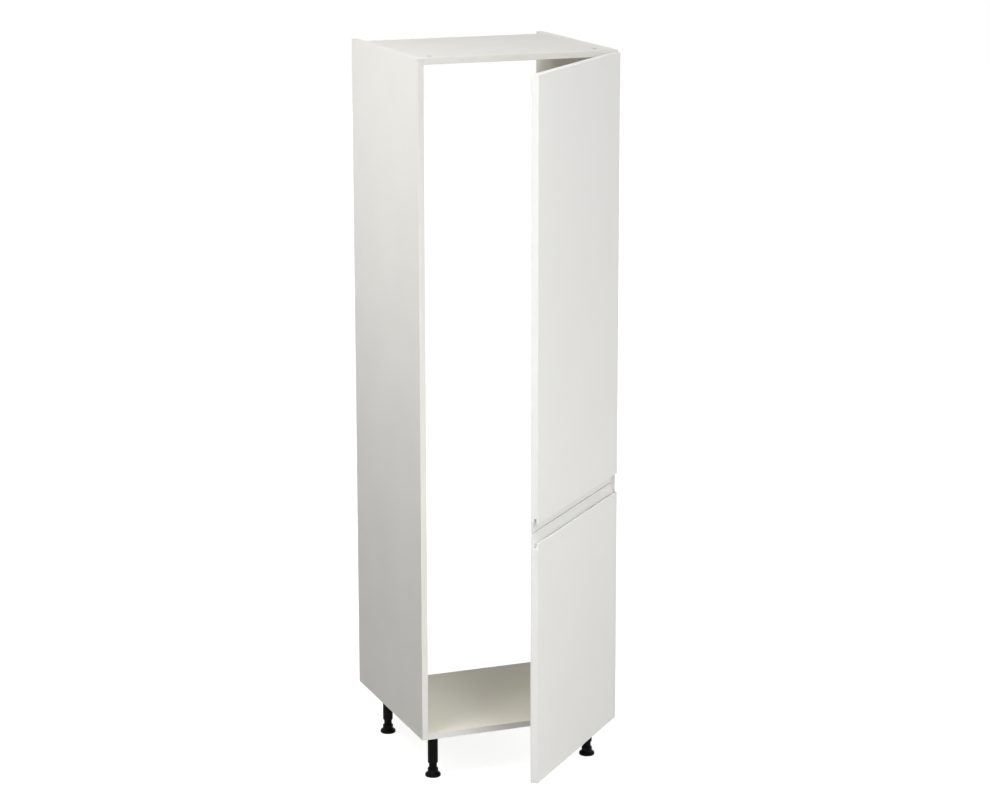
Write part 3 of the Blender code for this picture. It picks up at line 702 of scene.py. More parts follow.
@dataclass
class Cams:
    """The cam fittings, flush in the boards, each with a cross slot and a pointer mark.

    The rear ones of the top board are hidden under stuck-on cover discs of the board's own foil.

    Attributes:
        radius: a cam's radius.
        height: a cam's height.
        rim: the rounding of its upper edge.
        cross: half the length of the slot's arms.
        slit: half their width.
        sink: the slot's depth.
        hub: radius of the hole in the middle of the slot.
        ring: width of the raised ring round the face.
        hollow: how far the face lies below the ring.
        pointer: from the middle to the pointer mark's broad end and to its tip.
        pointer_half: half the width of that mark.
        pointer_sink: its depth.
        turned: how far a cam is turned past its start, in degrees.
        disc: radius of the cover discs.
    """

    radius: float = 7.5 * MM
    height: float = 12.5 * MM
    rim: float = 0.5 * MM
    cross: float = 3.9 * MM
    slit: float = 0.85 * MM
    sink: float = 3.0 * MM
    hub: float = 1.9 * MM
    ring: float = 1.6 * MM
    hollow: float = 0.25 * MM
    pointer: Point = (4.6 * MM, 5.5 * MM)
    pointer_half: float = 0.8 * MM
    pointer_sink: float = 0.7 * MM
    turned: float = 8.0
    disc: float = 9.0 * MM

    def cover(self) -> Solid:
        """Model a thin disc that lies on a board's face, a hair below the height of its rims."""
        low, high, ease = -SCRAPE, -0.03 * MM, 0.1 * MM
        return Solid.lathe([(0, low), (self.disc, low), (self.disc - ease, high), (0, high)])

    def solid(self) -> Solid:
        """Model a cam whose upper face is at height zero."""
        body = Solid.lathe([
            (0, -self.height), (self.radius, -self.height),
            *corner((self.radius, 0), self.rim, 0, 1, 4),
            (self.radius - self.ring, 0), (self.radius - self.ring - SEAT, -self.hollow),
            (0, -self.hollow),
        ]).moved(Matrix.Rotation(math.pi / FINE, 4, "Z"))
        arms = [
            Solid.box((-self.cross, -self.slit, -self.sink), (self.cross, self.slit, OVERRUN)),
            Solid.box((-self.slit, -self.cross, -self.sink - STEP), (self.slit, self.cross, OVERRUN)),
            Solid.rod(self.hub, (0, 0, -self.sink - 2 * STEP), (0, 0, OVERRUN)),
        ]
        broad, tip = self.pointer
        pointer = Solid.extruded(
            [(broad, -self.pointer_half), (tip, 0.0), (broad, self.pointer_half)],
            -self.pointer_sink, OVERRUN,
        )
        return body.cut(*arms, pointer)

    def build(self) -> None:
        """Make the eight cams in their bores."""
        for board, side in (("top_board", 1), ("floor_board", -1)):
            low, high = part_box(board)
            face_z = (high.z if side > 0 else low.z) - side * SEAT
            for node in cam_nodes(board):
                middle = center_of(node)
                facing = 0.0 if middle.x > 0 else math.pi
                turn = Matrix.Rotation(facing, 4, "Z")
                turn = turn @ Matrix.Rotation(math.radians(self.turned), 4, "Z")
                if side < 0:
                    turn = turn @ Matrix.Rotation(math.pi, 4, "X")
                place = Matrix.Translation((middle.x, middle.y, face_z)) @ turn
                self.solid().moved(place).piece(node + "_cast", ZINC, "carcass", "zinc_casting", [node])
                if side > 0 and "_rear_" in node:
                    disc = self.cover().moved(Matrix.Translation((middle.x, middle.y, high.z)))
                    name = "cover_disc_" + node.removeprefix("cam_")
                    disc.piece(name, MELAMINE, "carcass", "melamine_board")


@dataclass(frozen=True)
class FingerPull:
    """The section of a door's finger pull, in metres from the door's front face and its end.

    Attributes:
        lip: thickness of the lip.
        drop: how far the lip ends short of the door's end.
        lip_round: rounding of the lip's edges.
        groove: width of the groove behind the lip.
        sink: depth of the groove below the lip's edge.
        tail: thickness of the door's end behind the recess.
        tail_run: how far that thin end is straight.
        corner: rounding of the door's other edges.
        scoop: how the curve from the groove to the tail bends, as shares of its run.
    """

    lip: float = 4.8 * MM
    drop: float = 25.5 * MM
    lip_round: float = 1.2 * MM
    groove: float = 8.0 * MM
    sink: float = 15.0 * MM
    tail: float = 5.0 * MM
    tail_run: float = 8.0 * MM
    corner: float = 1.0 * MM
    scoop: tuple[float, float] = (0.38, 0.45)

    def outline(self, height: float, thickness: float) -> Outline:
        """Return the door's section as (depth, height) points, with the pull at its top end."""
        lip_end = height - self.drop
        back, half = self.lip + self.groove, self.groove / 2
        low = lip_end - self.sink + half
        face, end = thickness - self.tail, height - self.tail_run
        run = end - low
        curve = ((back, low), (back, low + self.scoop[0] * run),
                 (face, end - self.scoop[1] * run), (face, end))
        c, r = self.corner, self.lip_round
        return [
            *corner((0, 0), c, 3, 2, 4),
            *corner((0, lip_end), r, 2, 1, 5),
            *corner((self.lip, lip_end), r, 1, 0, 5),
            *arc((self.lip + half, low), half, 2, 4, 16),
            *bezier(curve, 16)[1:],
            *corner((face, height), c, 2, 1, 4),
            *corner((thickness, height), c, 1, 0, 4),
            *corner((thickness, 0), c, 0, -1, 4),
        ]


@dataclass
class Door:
    """A slab door with a finger pull at one end, in the place where it stands part open.

    Attributes:
        node: the door's node, which is its body's name too.
        pull_on_top: whether the finger pull is at the top end.
        hinges: the names of its hinges.
        swing: carries the closed door, drawn about its hinge line, to where it stands.
        width: the door's width.
        thickness: the door's thickness.
        edge_inset: from the door's hinge edge to the hinge line.
        front_inset: from the door's front face to the hinge line.
        arris: rounding of the side edges.
        seam: where the foil ends on the back, from the edges.
        cup_bore: radius of the holes for the hinge cups.
        cup_depth: depth of those holes.
        pull: the section of the finger pull.
    """

    node: str
    pull_on_top: bool
    hinges: Sequence[str]
    swing: Matrix
    width: float = 597 * MM
    thickness: float = 22 * MM
    edge_inset: float = 9.5 * MM
    front_inset: float = 5.0 * MM
    arris: float = 0.6 * MM
    seam: float = 1.6 * MM
    cup_bore: float = 17.8 * MM
    cup_depth: float = 12.0 * MM
    pull: FingerPull = field(default_factory=FingerPull)

    def build(self) -> None:
        """Make the door, bored for its cups."""
        low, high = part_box(self.node)
        height = high.z - low.z
        outline = self.pull.outline(height, self.thickness)
        if not self.pull_on_top:
            outline = [(depth, height - z) for depth, z in outline]
        made = Solid.extruded(outline, self.edge_inset - self.width, self.edge_inset, self.arris)
        upright = Matrix(((0, 0, 1, 0), (1, 0, 0, -self.front_inset), (0, 1, 0, low.z), (0, 0, 0, 1)))
        made.moved(upright)
        back = self.thickness - self.front_inset
        made.panelled(
            lambda face: face.normal.y > FACING and face.calc_area() > FLAT_FACE_AREA
            and abs(face.calc_center_median().y - back) < SEAT,
            self.seam, SCRAPE, 1,
        )
        bores = Solid()
        for hinge in self.hinges:
            z = center_of("hinge_cup_" + hinge).z
            bores.add(Solid.rod(self.cup_bore, (Hinge.CUP_X, back + OVERRUN, z),
                                (Hinge.CUP_X, back - self.cup_depth, z), FINE))
        made.cut(bores).moved(self.swing)
        made.piece(
            self.node + "_wrapped", (DOOR_FOIL, DOOR_BACK), self.node, "lacquered_door", [self.node])


@dataclass
class Hinge:
    """A concealed hinge: a winged cup in the door, a link, and an arm clipped on a mounting plate.

    The arm and the plate are drawn with X from the panel's face, Y from the carcass's front edge
    and Z along the panel, and the cup in the closed door's place about the hinge line.

    Attributes:
        name: the hinge's name, as its nodes end.
        door: the body of its door.
        links: the body of its link.
        swing: carries the closed door's cup to where the door stands.
        link_swing: carries the closed door's link to where it stands.
        seat: from the hinge line to the cup's flange, in depth.
        flange: thickness of the flange.
        wing_width: width of the flange's wings.
        wing_length: length of the flange over both wings.
        cup_radius: outer radius of the cup.
        cup_wall: thickness of its wall.
        cup_depth: depth of the cup below the flange.
        cup_floor: thickness of its floor.
        pressed: how far the arrises of the flange and the link are drawn in.
        rim: how far the flange's ring stands out round the cup.
        screw_place: from the cup's middle to each of its screws.
        cheek: thickness of the two cheeks that the link works between.
        cheek_end: where the cheeks end, along the door from the hinge line.
        cheek_foot: how far above the cup's underside they start.
        cheek_drop: how far below the flange they end.
        cheek_round: rounding of their edges.
        link_width: width of the link.
        link_sheet: thickness of the link.
        link_spine: control points of the link's bend, from its pivot.
        eye: radius of the link's eye.
        eye_round: rounding of the eye's rims.
        pin: radius of the pivot pin.
        pin_round: rounding of its ends.
        pin_stands: how far its ends stand out of the nose.
        nose: place of the pivot pin on the arm.
        nose_round: radius of the arm's nose.
        nose_width: width of the arm's nose.
        arm_width: width of the arm behind its neck.
        neck: where the arm narrows.
        belly: corners of the arm's edge that faces the panel, from the rear on.
        shoulder: where the arm's web starts to slope to the nose.
        reach: from the panel to the arm's web.
        rear: where the arm ends.
        sheet: thickness of the arm's steel.
        fold: outer radius of the arm's folds.
        slot_place: where the clamping screw's slot is.
        slot_width: half the width of that slot.
        slot_length: length of that slot.
        setter_place: where the setting screw is.
        rail: low and high corners of the plate's rail.
        rail_round: rounding of the rail.
        plate_sheet: thickness of the plate's wings.
        plate_round: how far the wings' arrises are drawn in.
        plate_half: half the width of the wings.
        plate_length: length of the plate over both wings.
        plate_place: where the plate's screws are.
        plate_screws: from the plate's middle to each of its screws.
    """

    CUP_X = -12.5 * MM
    WING_X = -18.0 * MM

    name: str
    door: str
    links: str
    swing: Matrix
    link_swing: Matrix
    seat: float = 17.3 * MM
    flange: float = 1.0 * MM
    wing_width: float = 16.0 * MM
    wing_length: float = 60.0 * MM
    cup_radius: float = 17.5 * MM
    cup_wall: float = 1.2 * MM
    cup_depth: float = 12.0 * MM
    cup_floor: float = 0.9 * MM
    pressed: float = 0.25 * MM
    rim: float = 1.5 * MM
    screw_place: float = 24.0 * MM
    cheek: float = 2.0 * MM
    cheek_end: float = -10.0 * MM
    cheek_foot: float = 0.45 * MM
    cheek_drop: float = 2.0 * MM
    cheek_round: float = 0.3 * MM
    link_width: float = 7.0 * MM
    link_sheet: float = 2.2 * MM
    link_spine: Sequence[Point] = (
        (0, 0), (12.654 * MM, -1.887 * MM), (13.2525 * MM, -2.516 * MM), (17.1 * MM, 3.7 * MM)
    )
    eye: float = 3.0 * MM
    eye_round: float = 0.3 * MM
    pin: float = 1.5 * MM
    pin_round: float = 0.2 * MM
    pin_stands: float = 0.4 * MM
    nose: Point = (17.3 * MM, -10.4 * MM)
    nose_round: float = 3.0 * MM
    nose_width: float = 10.6 * MM
    arm_width: float = 15.6 * MM
    neck: float = 10.0 * MM
    belly: Sequence[Point] = ((3.0 * MM, 16.0 * MM), (9.0 * MM, 4.0 * MM))
    shoulder: float = 20.0 * MM
    reach: float = 14.0 * MM
    rear: float = 62.0 * MM
    sheet: float = 1.5 * MM
    fold: float = 1.1 * MM
    slot_place: float = 52.0 * MM
    slot_width: float = 2.5 * MM
    slot_length: float = 11.0 * MM
    setter_place: float = 30.0 * MM
    rail: tuple[Point, Point] = ((2 * SEAT, 14 * MM, -6 * MM), (12.2 * MM, 58 * MM, 6 * MM))
    rail_round: float = 0.8 * MM
    plate_sheet: float = 1.6 * MM
    plate_round: float = 0.3 * MM
    plate_half: float = 8.0 * MM
    plate_length: float = 45.0 * MM
    plate_place: float = 37.0 * MM
    plate_screws: float = 16.0 * MM

    @property
    def height(self) -> float:
        """Height of the hinge's middle."""
        return center_of("hinge_cup_" + self.name).z

    def cup(self) -> None:
        """Make the cup with its wings, cheeks and two screws."""
        top, floor = self.seat + self.flange, self.seat - self.cup_depth
        inner, bottom = self.cup_radius - self.cup_wall, floor + self.cup_floor
        lip, bowl = 0.4 * MM, 1.6 * MM
        deep = Matrix.Rotation(-math.pi / 2, 4, "X")
        outline = stadium((self.WING_X, 0), self.wing_width / 2, self.wing_length, 16)
        wings = Solid.extruded(outline, self.seat, top, self.pressed).moved(deep)
        opening = Solid.rod(
            inner + self.cup_wall / 2, (self.CUP_X, self.seat - OVERRUN, 0),
            (self.CUP_X, top + OVERRUN, 0), FINE)
        shell = Solid.lathe([
            (0, floor), *corner((self.cup_radius, floor), bowl, -1, 0, 5),
            (self.cup_radius, self.seat - STEP), (self.cup_radius + self.rim, self.seat - STEP),
            *corner((self.cup_radius + self.rim, top + STEP), lip, 0, 1, 3),
            *corner((inner, top + STEP), lip, 1, 2, 3),
            *corner((inner, bottom), bowl, 0, -1, 5), (0, bottom),
        ]).moved(Matrix.Translation((self.CUP_X, 0, 0)) @ deep)
        steps = [("DIFFERENCE", opening)]
        heads = Solid()
        near = self.link_width / 2 + SEAT
        cheeks = []
        for number, side in enumerate((-1, 1)):
            z = side * self.screw_place
            steps.append(("DIFFERENCE", Solid.rod(
                CUP_SCREW.hole, (self.WING_X, self.seat - OVERRUN, z),
                (self.WING_X, top + OVERRUN, z))))
            heads.add(CUP_SCREW.solid((self.WING_X, top, z), (0, 1, 0), turn=0.5 + number))
            low, high = sorted((side * near, side * (near + self.cheek)))
            cheeks.append(("UNION", Solid.box(
                (self.cheek_end, floor + self.cheek_foot, low),
                (self.CUP_X + inner - self.cup_wall / 2, self.seat - self.cheek_drop, high),
                self.cheek_round)))
        steps += [("UNION", shell), *cheeks]
        place = self.swing @ Matrix.Translation((0, 0, self.height))
        node = "hinge_cup_" + self.name
        wings.carved(steps).moved(place).piece(
            node + "_pressed", NICKEL, self.door, "nickel_steel", [node])
        heads.moved(place).piece("cup_screws_" + self.name, PLATED, self.door, "nickel_steel")

    def link(self) -> None:
        """Make the bent link that joins the arm to the cup."""
        spine = [Vector(point) for point in bezier(self.link_spine, 20)]
        sides: tuple[Outline, Outline] = ([], [])
        for number, point in enumerate(spine):
            along = spine[min(number + 1, len(spine) - 1)] - spine[max(number - 1, 0)]
            across = Vector((-along.y, along.x)).normalized() * self.link_sheet / 2
            sides[0].append(tuple(point - across))
            sides[1].append(tuple(point + across))
        half = self.link_width / 2
        strap = Solid.extruded(sides[0] + sides[1][::-1], -half, half, self.pressed)
        ring = Solid.lathe(barrel(self.eye, half, self.eye_round))
        bore = Solid.rod(self.pin + SEAT, (0, 0, -self.link_width), (0, 0, self.link_width))
        node = "hinge_link_" + self.name
        place = self.link_swing @ Matrix.Translation((0, 0, self.height))
        made = strap.carved([("UNION", ring), ("DIFFERENCE", bore)]).moved(place)
        made.piece(node + "_bent", NICKEL, self.links, "nickel_steel", [node])

    def arm(self, place: Matrix) -> None:
        """Make the folded arm with its pin and its two adjusting screws.

        Args:
            place: carries the arm to its place on the panel.
        """
        half, front = self.arm_width / 2, self.nose[1] - self.nose_round - OVERRUN
        far, web = self.nose[0] + self.nose_round + OVERRUN, self.reach - self.sheet
        outline = [
            (self.belly[0][0], self.rear), *self.belly,
            *arc(self.nose, self.nose_round, 2, 4, 14),
            (self.reach, self.shoulder), (self.reach, self.rear),
        ]
        inner, nose_half = half - self.sheet, self.nose_width / 2
        throat = nose_half - self.sheet
        blank = Solid.extruded(outline, -half, half, self.fold)
        slot = Solid.extruded(
            stadium((0, 0), self.slot_width, self.slot_length, 8), web - SEAT, self.reach + OVERRUN)
        slot.moved(Matrix.Translation((0, self.slot_place, 0)) @ Matrix.Rotation(math.pi / 2, 4, "Y"))
        mouth = [(-OVERRUN, front), (far + OVERRUN, front), (far + OVERRUN, 0), (web - STEP, 0),
                 (web - STEP, self.neck + 2 * self.sheet), (-OVERRUN, self.neck + 2 * self.sheet)]
        cuts = [
            Solid.box((-2 * OVERRUN, front, nose_half), (far, self.neck, self.arm_width)),
            Solid.box((-2 * OVERRUN, front, -self.arm_width), (far, self.neck, -nose_half)),
            Solid.box(
                (-3 * OVERRUN, self.neck + self.sheet, -inner), (web, self.rear + OVERRUN, inner)),
            Solid.extruded(mouth, -throat, throat),
            slot,
        ]
        pin_half = throat + self.sheet + self.pin_stands
        pin = Solid.lathe(barrel(self.pin, pin_half, self.pin_round), COARSE)
        pin.moved(Matrix.Translation((*self.nose, 0)))
        node = "hinge_arm_" + self.name
        made = blank.carved([*(("DIFFERENCE", cut) for cut in cuts), ("UNION", pin)]).moved(place)
        made.piece(node + "_folded", NICKEL, "carcass", "nickel_steel", [node])
        heads = CLAMP_SCREW.solid((self.reach, self.slot_place, 0), (1, 0, 0), turn=0.3)
        heads.add(SETTING_SCREW.solid((self.reach, self.setter_place, 0), (1, 0, 0), turn=1.1))
        heads.moved(place).piece("arm_screws_" + self.name, PLATED, "carcass", "nickel_steel")

    def plate(self, place: Matrix) -> None:
        """Make the mounting plate with its rail and its two screws.

        Args:
            place: carries the plate to its place on the panel.
        """
        outline = stadium((self.plate_place, 0), self.plate_half, self.plate_length, 16)
        across = Matrix(((0, 0, 1, 0), (1, 0, 0, 0), (0, 1, 0, 0), (0, 0, 0, 1)))
        top = SEAT + self.plate_sheet
        wings = Solid.extruded(outline, SEAT, top, self.plate_round).moved(across)
        steps = [("UNION", Solid.box(*self.rail, self.rail_round, 3))]
        heads = Solid()
        for number, side in enumerate((-1, 1)):
            z = side * self.plate_screws
            steps.append(("DIFFERENCE", Solid.rod(
                PLATE_SCREW.hole, (-OVERRUN, self.plate_place, z),
                (top + OVERRUN, self.plate_place, z))))
            heads.add(PLATE_SCREW.solid((top, self.plate_place, z), (1, 0, 0), turn=0.9 * number))
        node = "hinge_plate_" + self.name
        wings.carved(steps).moved(place).piece(
            node + "_winged", NICKEL, "carcass", "nickel_steel", [node])
        heads.moved(place).piece("plate_screws_" + self.name, PLATED, "carcass", "nickel_steel")

    def build(self) -> None:
        """Make the whole hinge."""
        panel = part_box("right_side_panel")[0]
        place = Matrix.Translation((panel.x, panel.y, self.height)) @ Matrix.Rotation(math.pi, 4, "Y")
        self.cup()
        self.link()
        self.plate(place)
        self.arm(place)


@dataclass
class Leg:
    """A screw leg: a ribbed top plate, a tube and a threaded foot.

    Attributes:
        name: the leg's name, as its nodes end.
        flange: radius of the top plate.
        flange_height: thickness of the top plate.
        flange_round: rounding of its lower rim, and twice that of its upper one.
        boss: radius of the ring that the tube stands in.
        boss_height: how far that ring reaches down from the plate.
        fillet: slope between the ring and the plate.
        plug: how far the plate's plug reaches down into the tube.
        ribs: how many ribs brace the ring.
        rib_bite: how far they reach into the ring.
        rib_root: how far they reach up into the plate.
        rib_gap: from their outer ends to the plate's rim.
        rib_end: height of those ends.
        rib_half: half the thickness of a rib.
        rib_round: how far its arrises are drawn in.
        tube: outer radius of the tube.
        tube_round: rounding of its lower end, and twice that of its upper one.
        band: how far up a slimmer band reaches at the tube's lower end, and where full width starts.
        band_step: how much slimmer that band is, in radius.
        bore: inner radius of the tube.
        screws: how many screws hold the plate.
        screw_circle: radius of the circle that they sit on.
        root: radius of the stem at the bottom of the thread.
        crest: radius of the stem over the thread.
        lead: chamfer at the stem's upper end.
        pitch: height of one turn of the thread.
        ridge: half the width of its ridge at the foot and at the tip, as shares of the pitch.
        thread_bite: how far the ridge reaches into the stem.
        thread_ends: from the collar's top down to the thread's start, and from the stem's to its end.
        collar: radius of the collar that the foot is turned by.
        collar_top: height of the collar's upper face.
        collar_low: height of its lower face.
        collar_round: rounding of its upper rim.
        collar_loop: from its side to the loop of points that keeps its top flat.
        collar_span: from its lower and upper faces to the loops that keep its side straight.
        nip: how far the flare starts inside the collar.
        flare: the last two control points of the curve from the collar to the base.
        foot: radius of the base.
        base: height of the base.
        base_round: rounding of its upper rim.
        sole: corners of the sole, in from the base's side and up from the ground.
        grips: how many hollows go round the collar.
        grip_from: how far in from the collar's side and up from its lower face they start.
        grip_depth: their depth, as a share of the radius.
    """

    name: str
    flange: float = 30.0 * MM
    flange_height: float = 5.0 * MM
    flange_round: float = 1.2 * MM
    boss: float = 18.0 * MM
    boss_height: float = 4.0 * MM
    fillet: float = 1.0 * MM
    plug: float = 18.0 * MM
    ribs: int = 8
    rib_bite: float = 0.5 * MM
    rib_root: float = 1.0 * MM
    rib_gap: float = 2.0 * MM
    rib_end: float = 0.6 * MM
    rib_half: float = 0.9 * MM
    rib_round: float = 0.2 * MM
    tube: float = 15.0 * MM
    tube_round: float = 0.8 * MM
    band: Point = (4.6 * MM, 5.0 * MM)
    band_step: float = 0.25 * MM
    bore: float = 12.3 * MM
    screws: int = 4
    screw_circle: float = 22.0 * MM
    root: float = 10.9 * MM
    crest: float = 12.0 * MM
    lead: float = 0.8 * MM
    pitch: float = 4.6 * MM
    ridge: Point = (0.33, 0.14)
    thread_bite: float = 0.4 * MM
    thread_ends: Point = (1.0 * MM, 2.0 * MM)
    collar: float = 15.5 * MM
    collar_top: float = 24.0 * MM
    collar_low: float = 15.0 * MM
    collar_round: float = 0.6 * MM
    collar_loop: float = 0.8 * MM
    collar_span: Point = (2.0 * MM, 2.5 * MM)
    nip: float = 0.4 * MM
    flare: Sequence[Point] = ((19.5 * MM, 11.0 * MM), (21.5 * MM, 8.6 * MM))
    foot: float = 23.0 * MM
    base: float = 7.0 * MM
    base_round: float = 1.6 * MM
    sole: Sequence[Point] = ((0.0, 1.2 * MM), (1.0 * MM, 0.0), (4.0 * MM, 0.0), (4.6 * MM, 0.8 * MM))
    grips: int = 12
    grip_from: Point = (0.9 * MM, 1.0 * MM)
    grip_depth: float = 0.045

    def plate(self, place: Matrix, top: float) -> None:
        """Make the top plate with its ring, ribs and screws.

        Args:
            place: carries a leg drawn about Z to its place.
            top: the height of the plate's upper face.
        """
        low = top - self.flange_height
        body = Solid.lathe([
            (0, top), *corner((self.flange, top), self.flange_round / 2, 1, 0, 3),
            *corner((self.flange, low), self.flange_round, 0, -1, 4),
            (self.boss + self.fillet, low), (self.boss, low - self.fillet),
            (self.boss, low - self.boss_height), (self.tube + SEAT, low - self.boss_height),
            (self.tube + SEAT, low), (self.bore - SEAT, low),
            (self.bore - SEAT, low - self.plug), (0, low - self.plug),
        ])
        ribs = Solid()
        near, far, root = self.boss - self.rib_bite, self.flange - self.rib_gap, low + self.rib_root
        section = [(near, low - self.boss_height), (near, root), (far, root), (far, low - self.rib_end)]
        for number in range(self.ribs):
            rib = Solid.extruded(section, -self.rib_half, self.rib_half, self.rib_round)
            rib.moved(Matrix.Rotation(math.pi / 2, 4, "X"))
            ribs.add(rib.moved(Matrix.Rotation(2 * math.pi * (number + 0.5) / self.ribs, 4, "Z")))
        holes, heads = Solid(), Solid()
        for number in range(self.screws):
            angle = 2 * math.pi * (number + 0.5) / self.screws
            x, y = self.screw_circle * math.cos(angle), self.screw_circle * math.sin(angle)
            holes.add(Solid.rod(LEG_SCREW.hole, (x, y, low - OVERRUN), (x, y, top + OVERRUN)))
            heads.add(LEG_SCREW.solid((x, y, low), (0, 0, -1), turn=0.7 * number))
        made = body.cut(holes).add(ribs).moved(place)
        node = "leg_plate_" + self.name
        made.piece(node + "_ribbed", POLYPROPYLENE, "carcass", "black_plastic", [node])
        heads.moved(place).piece("leg_screws_" + self.name, PLATED, "carcass", "nickel_steel")

    def sleeve(self, place: Matrix, low: float, high: float) -> None:
        """Make the tube between two heights."""
        slim = self.tube - self.band_step
        made = Solid.lathe([
            (self.bore, high), *corner((self.tube, high), self.tube_round / 2, 1, 0, 3),
            (self.tube, low + self.band[1]), (slim, low + self.band[0]),
            *corner((slim, low), self.tube_round, 0, -1, 4),
            (self.bore, low),
        ])
        node = "leg_tube_" + self.name
        made.moved(place).piece(node + "_moulded", POLYPROPYLENE, "carcass", "black_plastic", [node])

    def thread(self, low: float, high: float) -> Solid:
        """Return the thread's ridge, wound up the stem between two heights."""
        made = Solid()
        inside = self.root - self.thread_bite
        half, tip = (share * self.pitch for share in self.ridge)
        section = [(inside, -half), (self.crest, -tip), (self.crest, tip), (inside, half)]
        face = made.bm.faces.new([made.bm.verts.new((r, 0, low + half + z)) for r, z in section])
        turns = (high - low - 2 * half) / self.pitch
        steps = int(turns * COARSE)
        bmesh.ops.spin(
            made.bm, geom=[face, *face.edges, *face.verts], cent=(0, 0, 0), axis=(0, 0, 1),
            dvec=(0, 0, self.pitch * turns / steps), angle=2 * math.pi * turns, steps=steps,
        )
        gaps = [edge for edge in made.bm.edges if edge.is_boundary]
        if gaps:
            bmesh.ops.holes_fill(made.bm, edges=gaps)
        return made.tidy()

    def screw_foot(self, place: Matrix, top: float) -> None:
        """Make the threaded stem with its collar and flared base, its stem ending at a height."""
        flare = bezier(
            ((self.collar - self.nip, self.collar_low),
             (self.collar + self.nip / 2, self.flare[0][1]), *self.flare), 8
        )
        body = Solid.lathe([
            (0, top), (self.root - self.lead, top), (self.root, top - self.lead),
            (self.root, self.collar_top), (self.collar - self.collar_loop, self.collar_top),
            *corner((self.collar, self.collar_top), self.collar_round, 1, 0, 3),
            (self.collar, self.collar_top - self.collar_span[1]),
            (self.collar, self.collar_low + self.collar_span[0]),
            *flare, *corner((self.foot, self.base), self.base_round, 1, 0, 4),
            *((self.foot - inset, height) for inset, height in self.sole), (0, self.sole[-1][1]),
        ], 2 * FINE)
        grip_radius = self.collar - self.grip_from[0]
        for vert in body.bm.verts:
            radius = vert.co.xy.length
            if radius > grip_radius and vert.co.z > self.collar_low + self.grip_from[1]:
                angle = math.atan2(vert.co.y, vert.co.x)
                vert.co.xy *= 1 - self.grip_depth * max(0.0, math.cos(self.grips * angle)) ** 2
        start, end = self.collar_top - self.thread_ends[0], top - self.thread_ends[1]
        body.add(self.thread(start, end)).moved(place)
        node = "leg_foot_" + self.name
        body.piece(
            node + "_threaded", POLYPROPYLENE, "foot_" + self.name, "black_plastic", [node])

    def build(self) -> None:
        """Make the whole leg."""
        middle = center_of("leg_tube_" + self.name)
        place = Matrix.Translation((middle.x, middle.y, 0))
        tube_low, tube_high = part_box("leg_tube_" + self.name)
        self.plate(place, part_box("leg_plate_" + self.name)[1].z)
        self.sleeve(place, tube_low.z, tube_high.z)
        self.screw_foot(place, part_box("leg_foot_" + self.name)[1].z)


class LampKind(Enum):
    """A square softbox, or a far lamp whose light doesn't fall off."""

    SOFTBOX = "AREA"
    FAR = "SUN"


@dataclass(frozen=True)
class Lamp:
    """A soft lamp aimed at a point.

    Attributes:
        name: the lamp's name.
        at: where it hangs.
        aim: the point that it faces.
        size: the side of a softbox in metres, or how wide a far lamp looks in degrees.
        power: a softbox's power in watts, or a far lamp's in watts on a square metre.
        spread: how wide a softbox's beam is, in degrees.
        kind: what sort of lamp it is.
    """

    name: str
    at: Point
    aim: Point
    size: float
    power: float
    spread: float = 180.0
    kind: LampKind = LampKind.SOFTBOX

    def build(self) -> None:
        """Hang the lamp."""
        light = bpy.data.lights.new(self.name, self.kind.value)
        if self.kind is LampKind.FAR:
            light.angle = math.radians(self.size)
        else:
            light.size = self.size
            light.spread = math.radians(self.spread)
        light.energy = self.power
        lamp = bpy.data.objects.new(self.name, light)
        lamp.location = self.at
        lamp.rotation_euler = (Vector(self.at) - Vector(self.aim)).to_track_quat("Z", "Y").to_euler()
        bpy.context.scene.collection.objects.link(lamp)


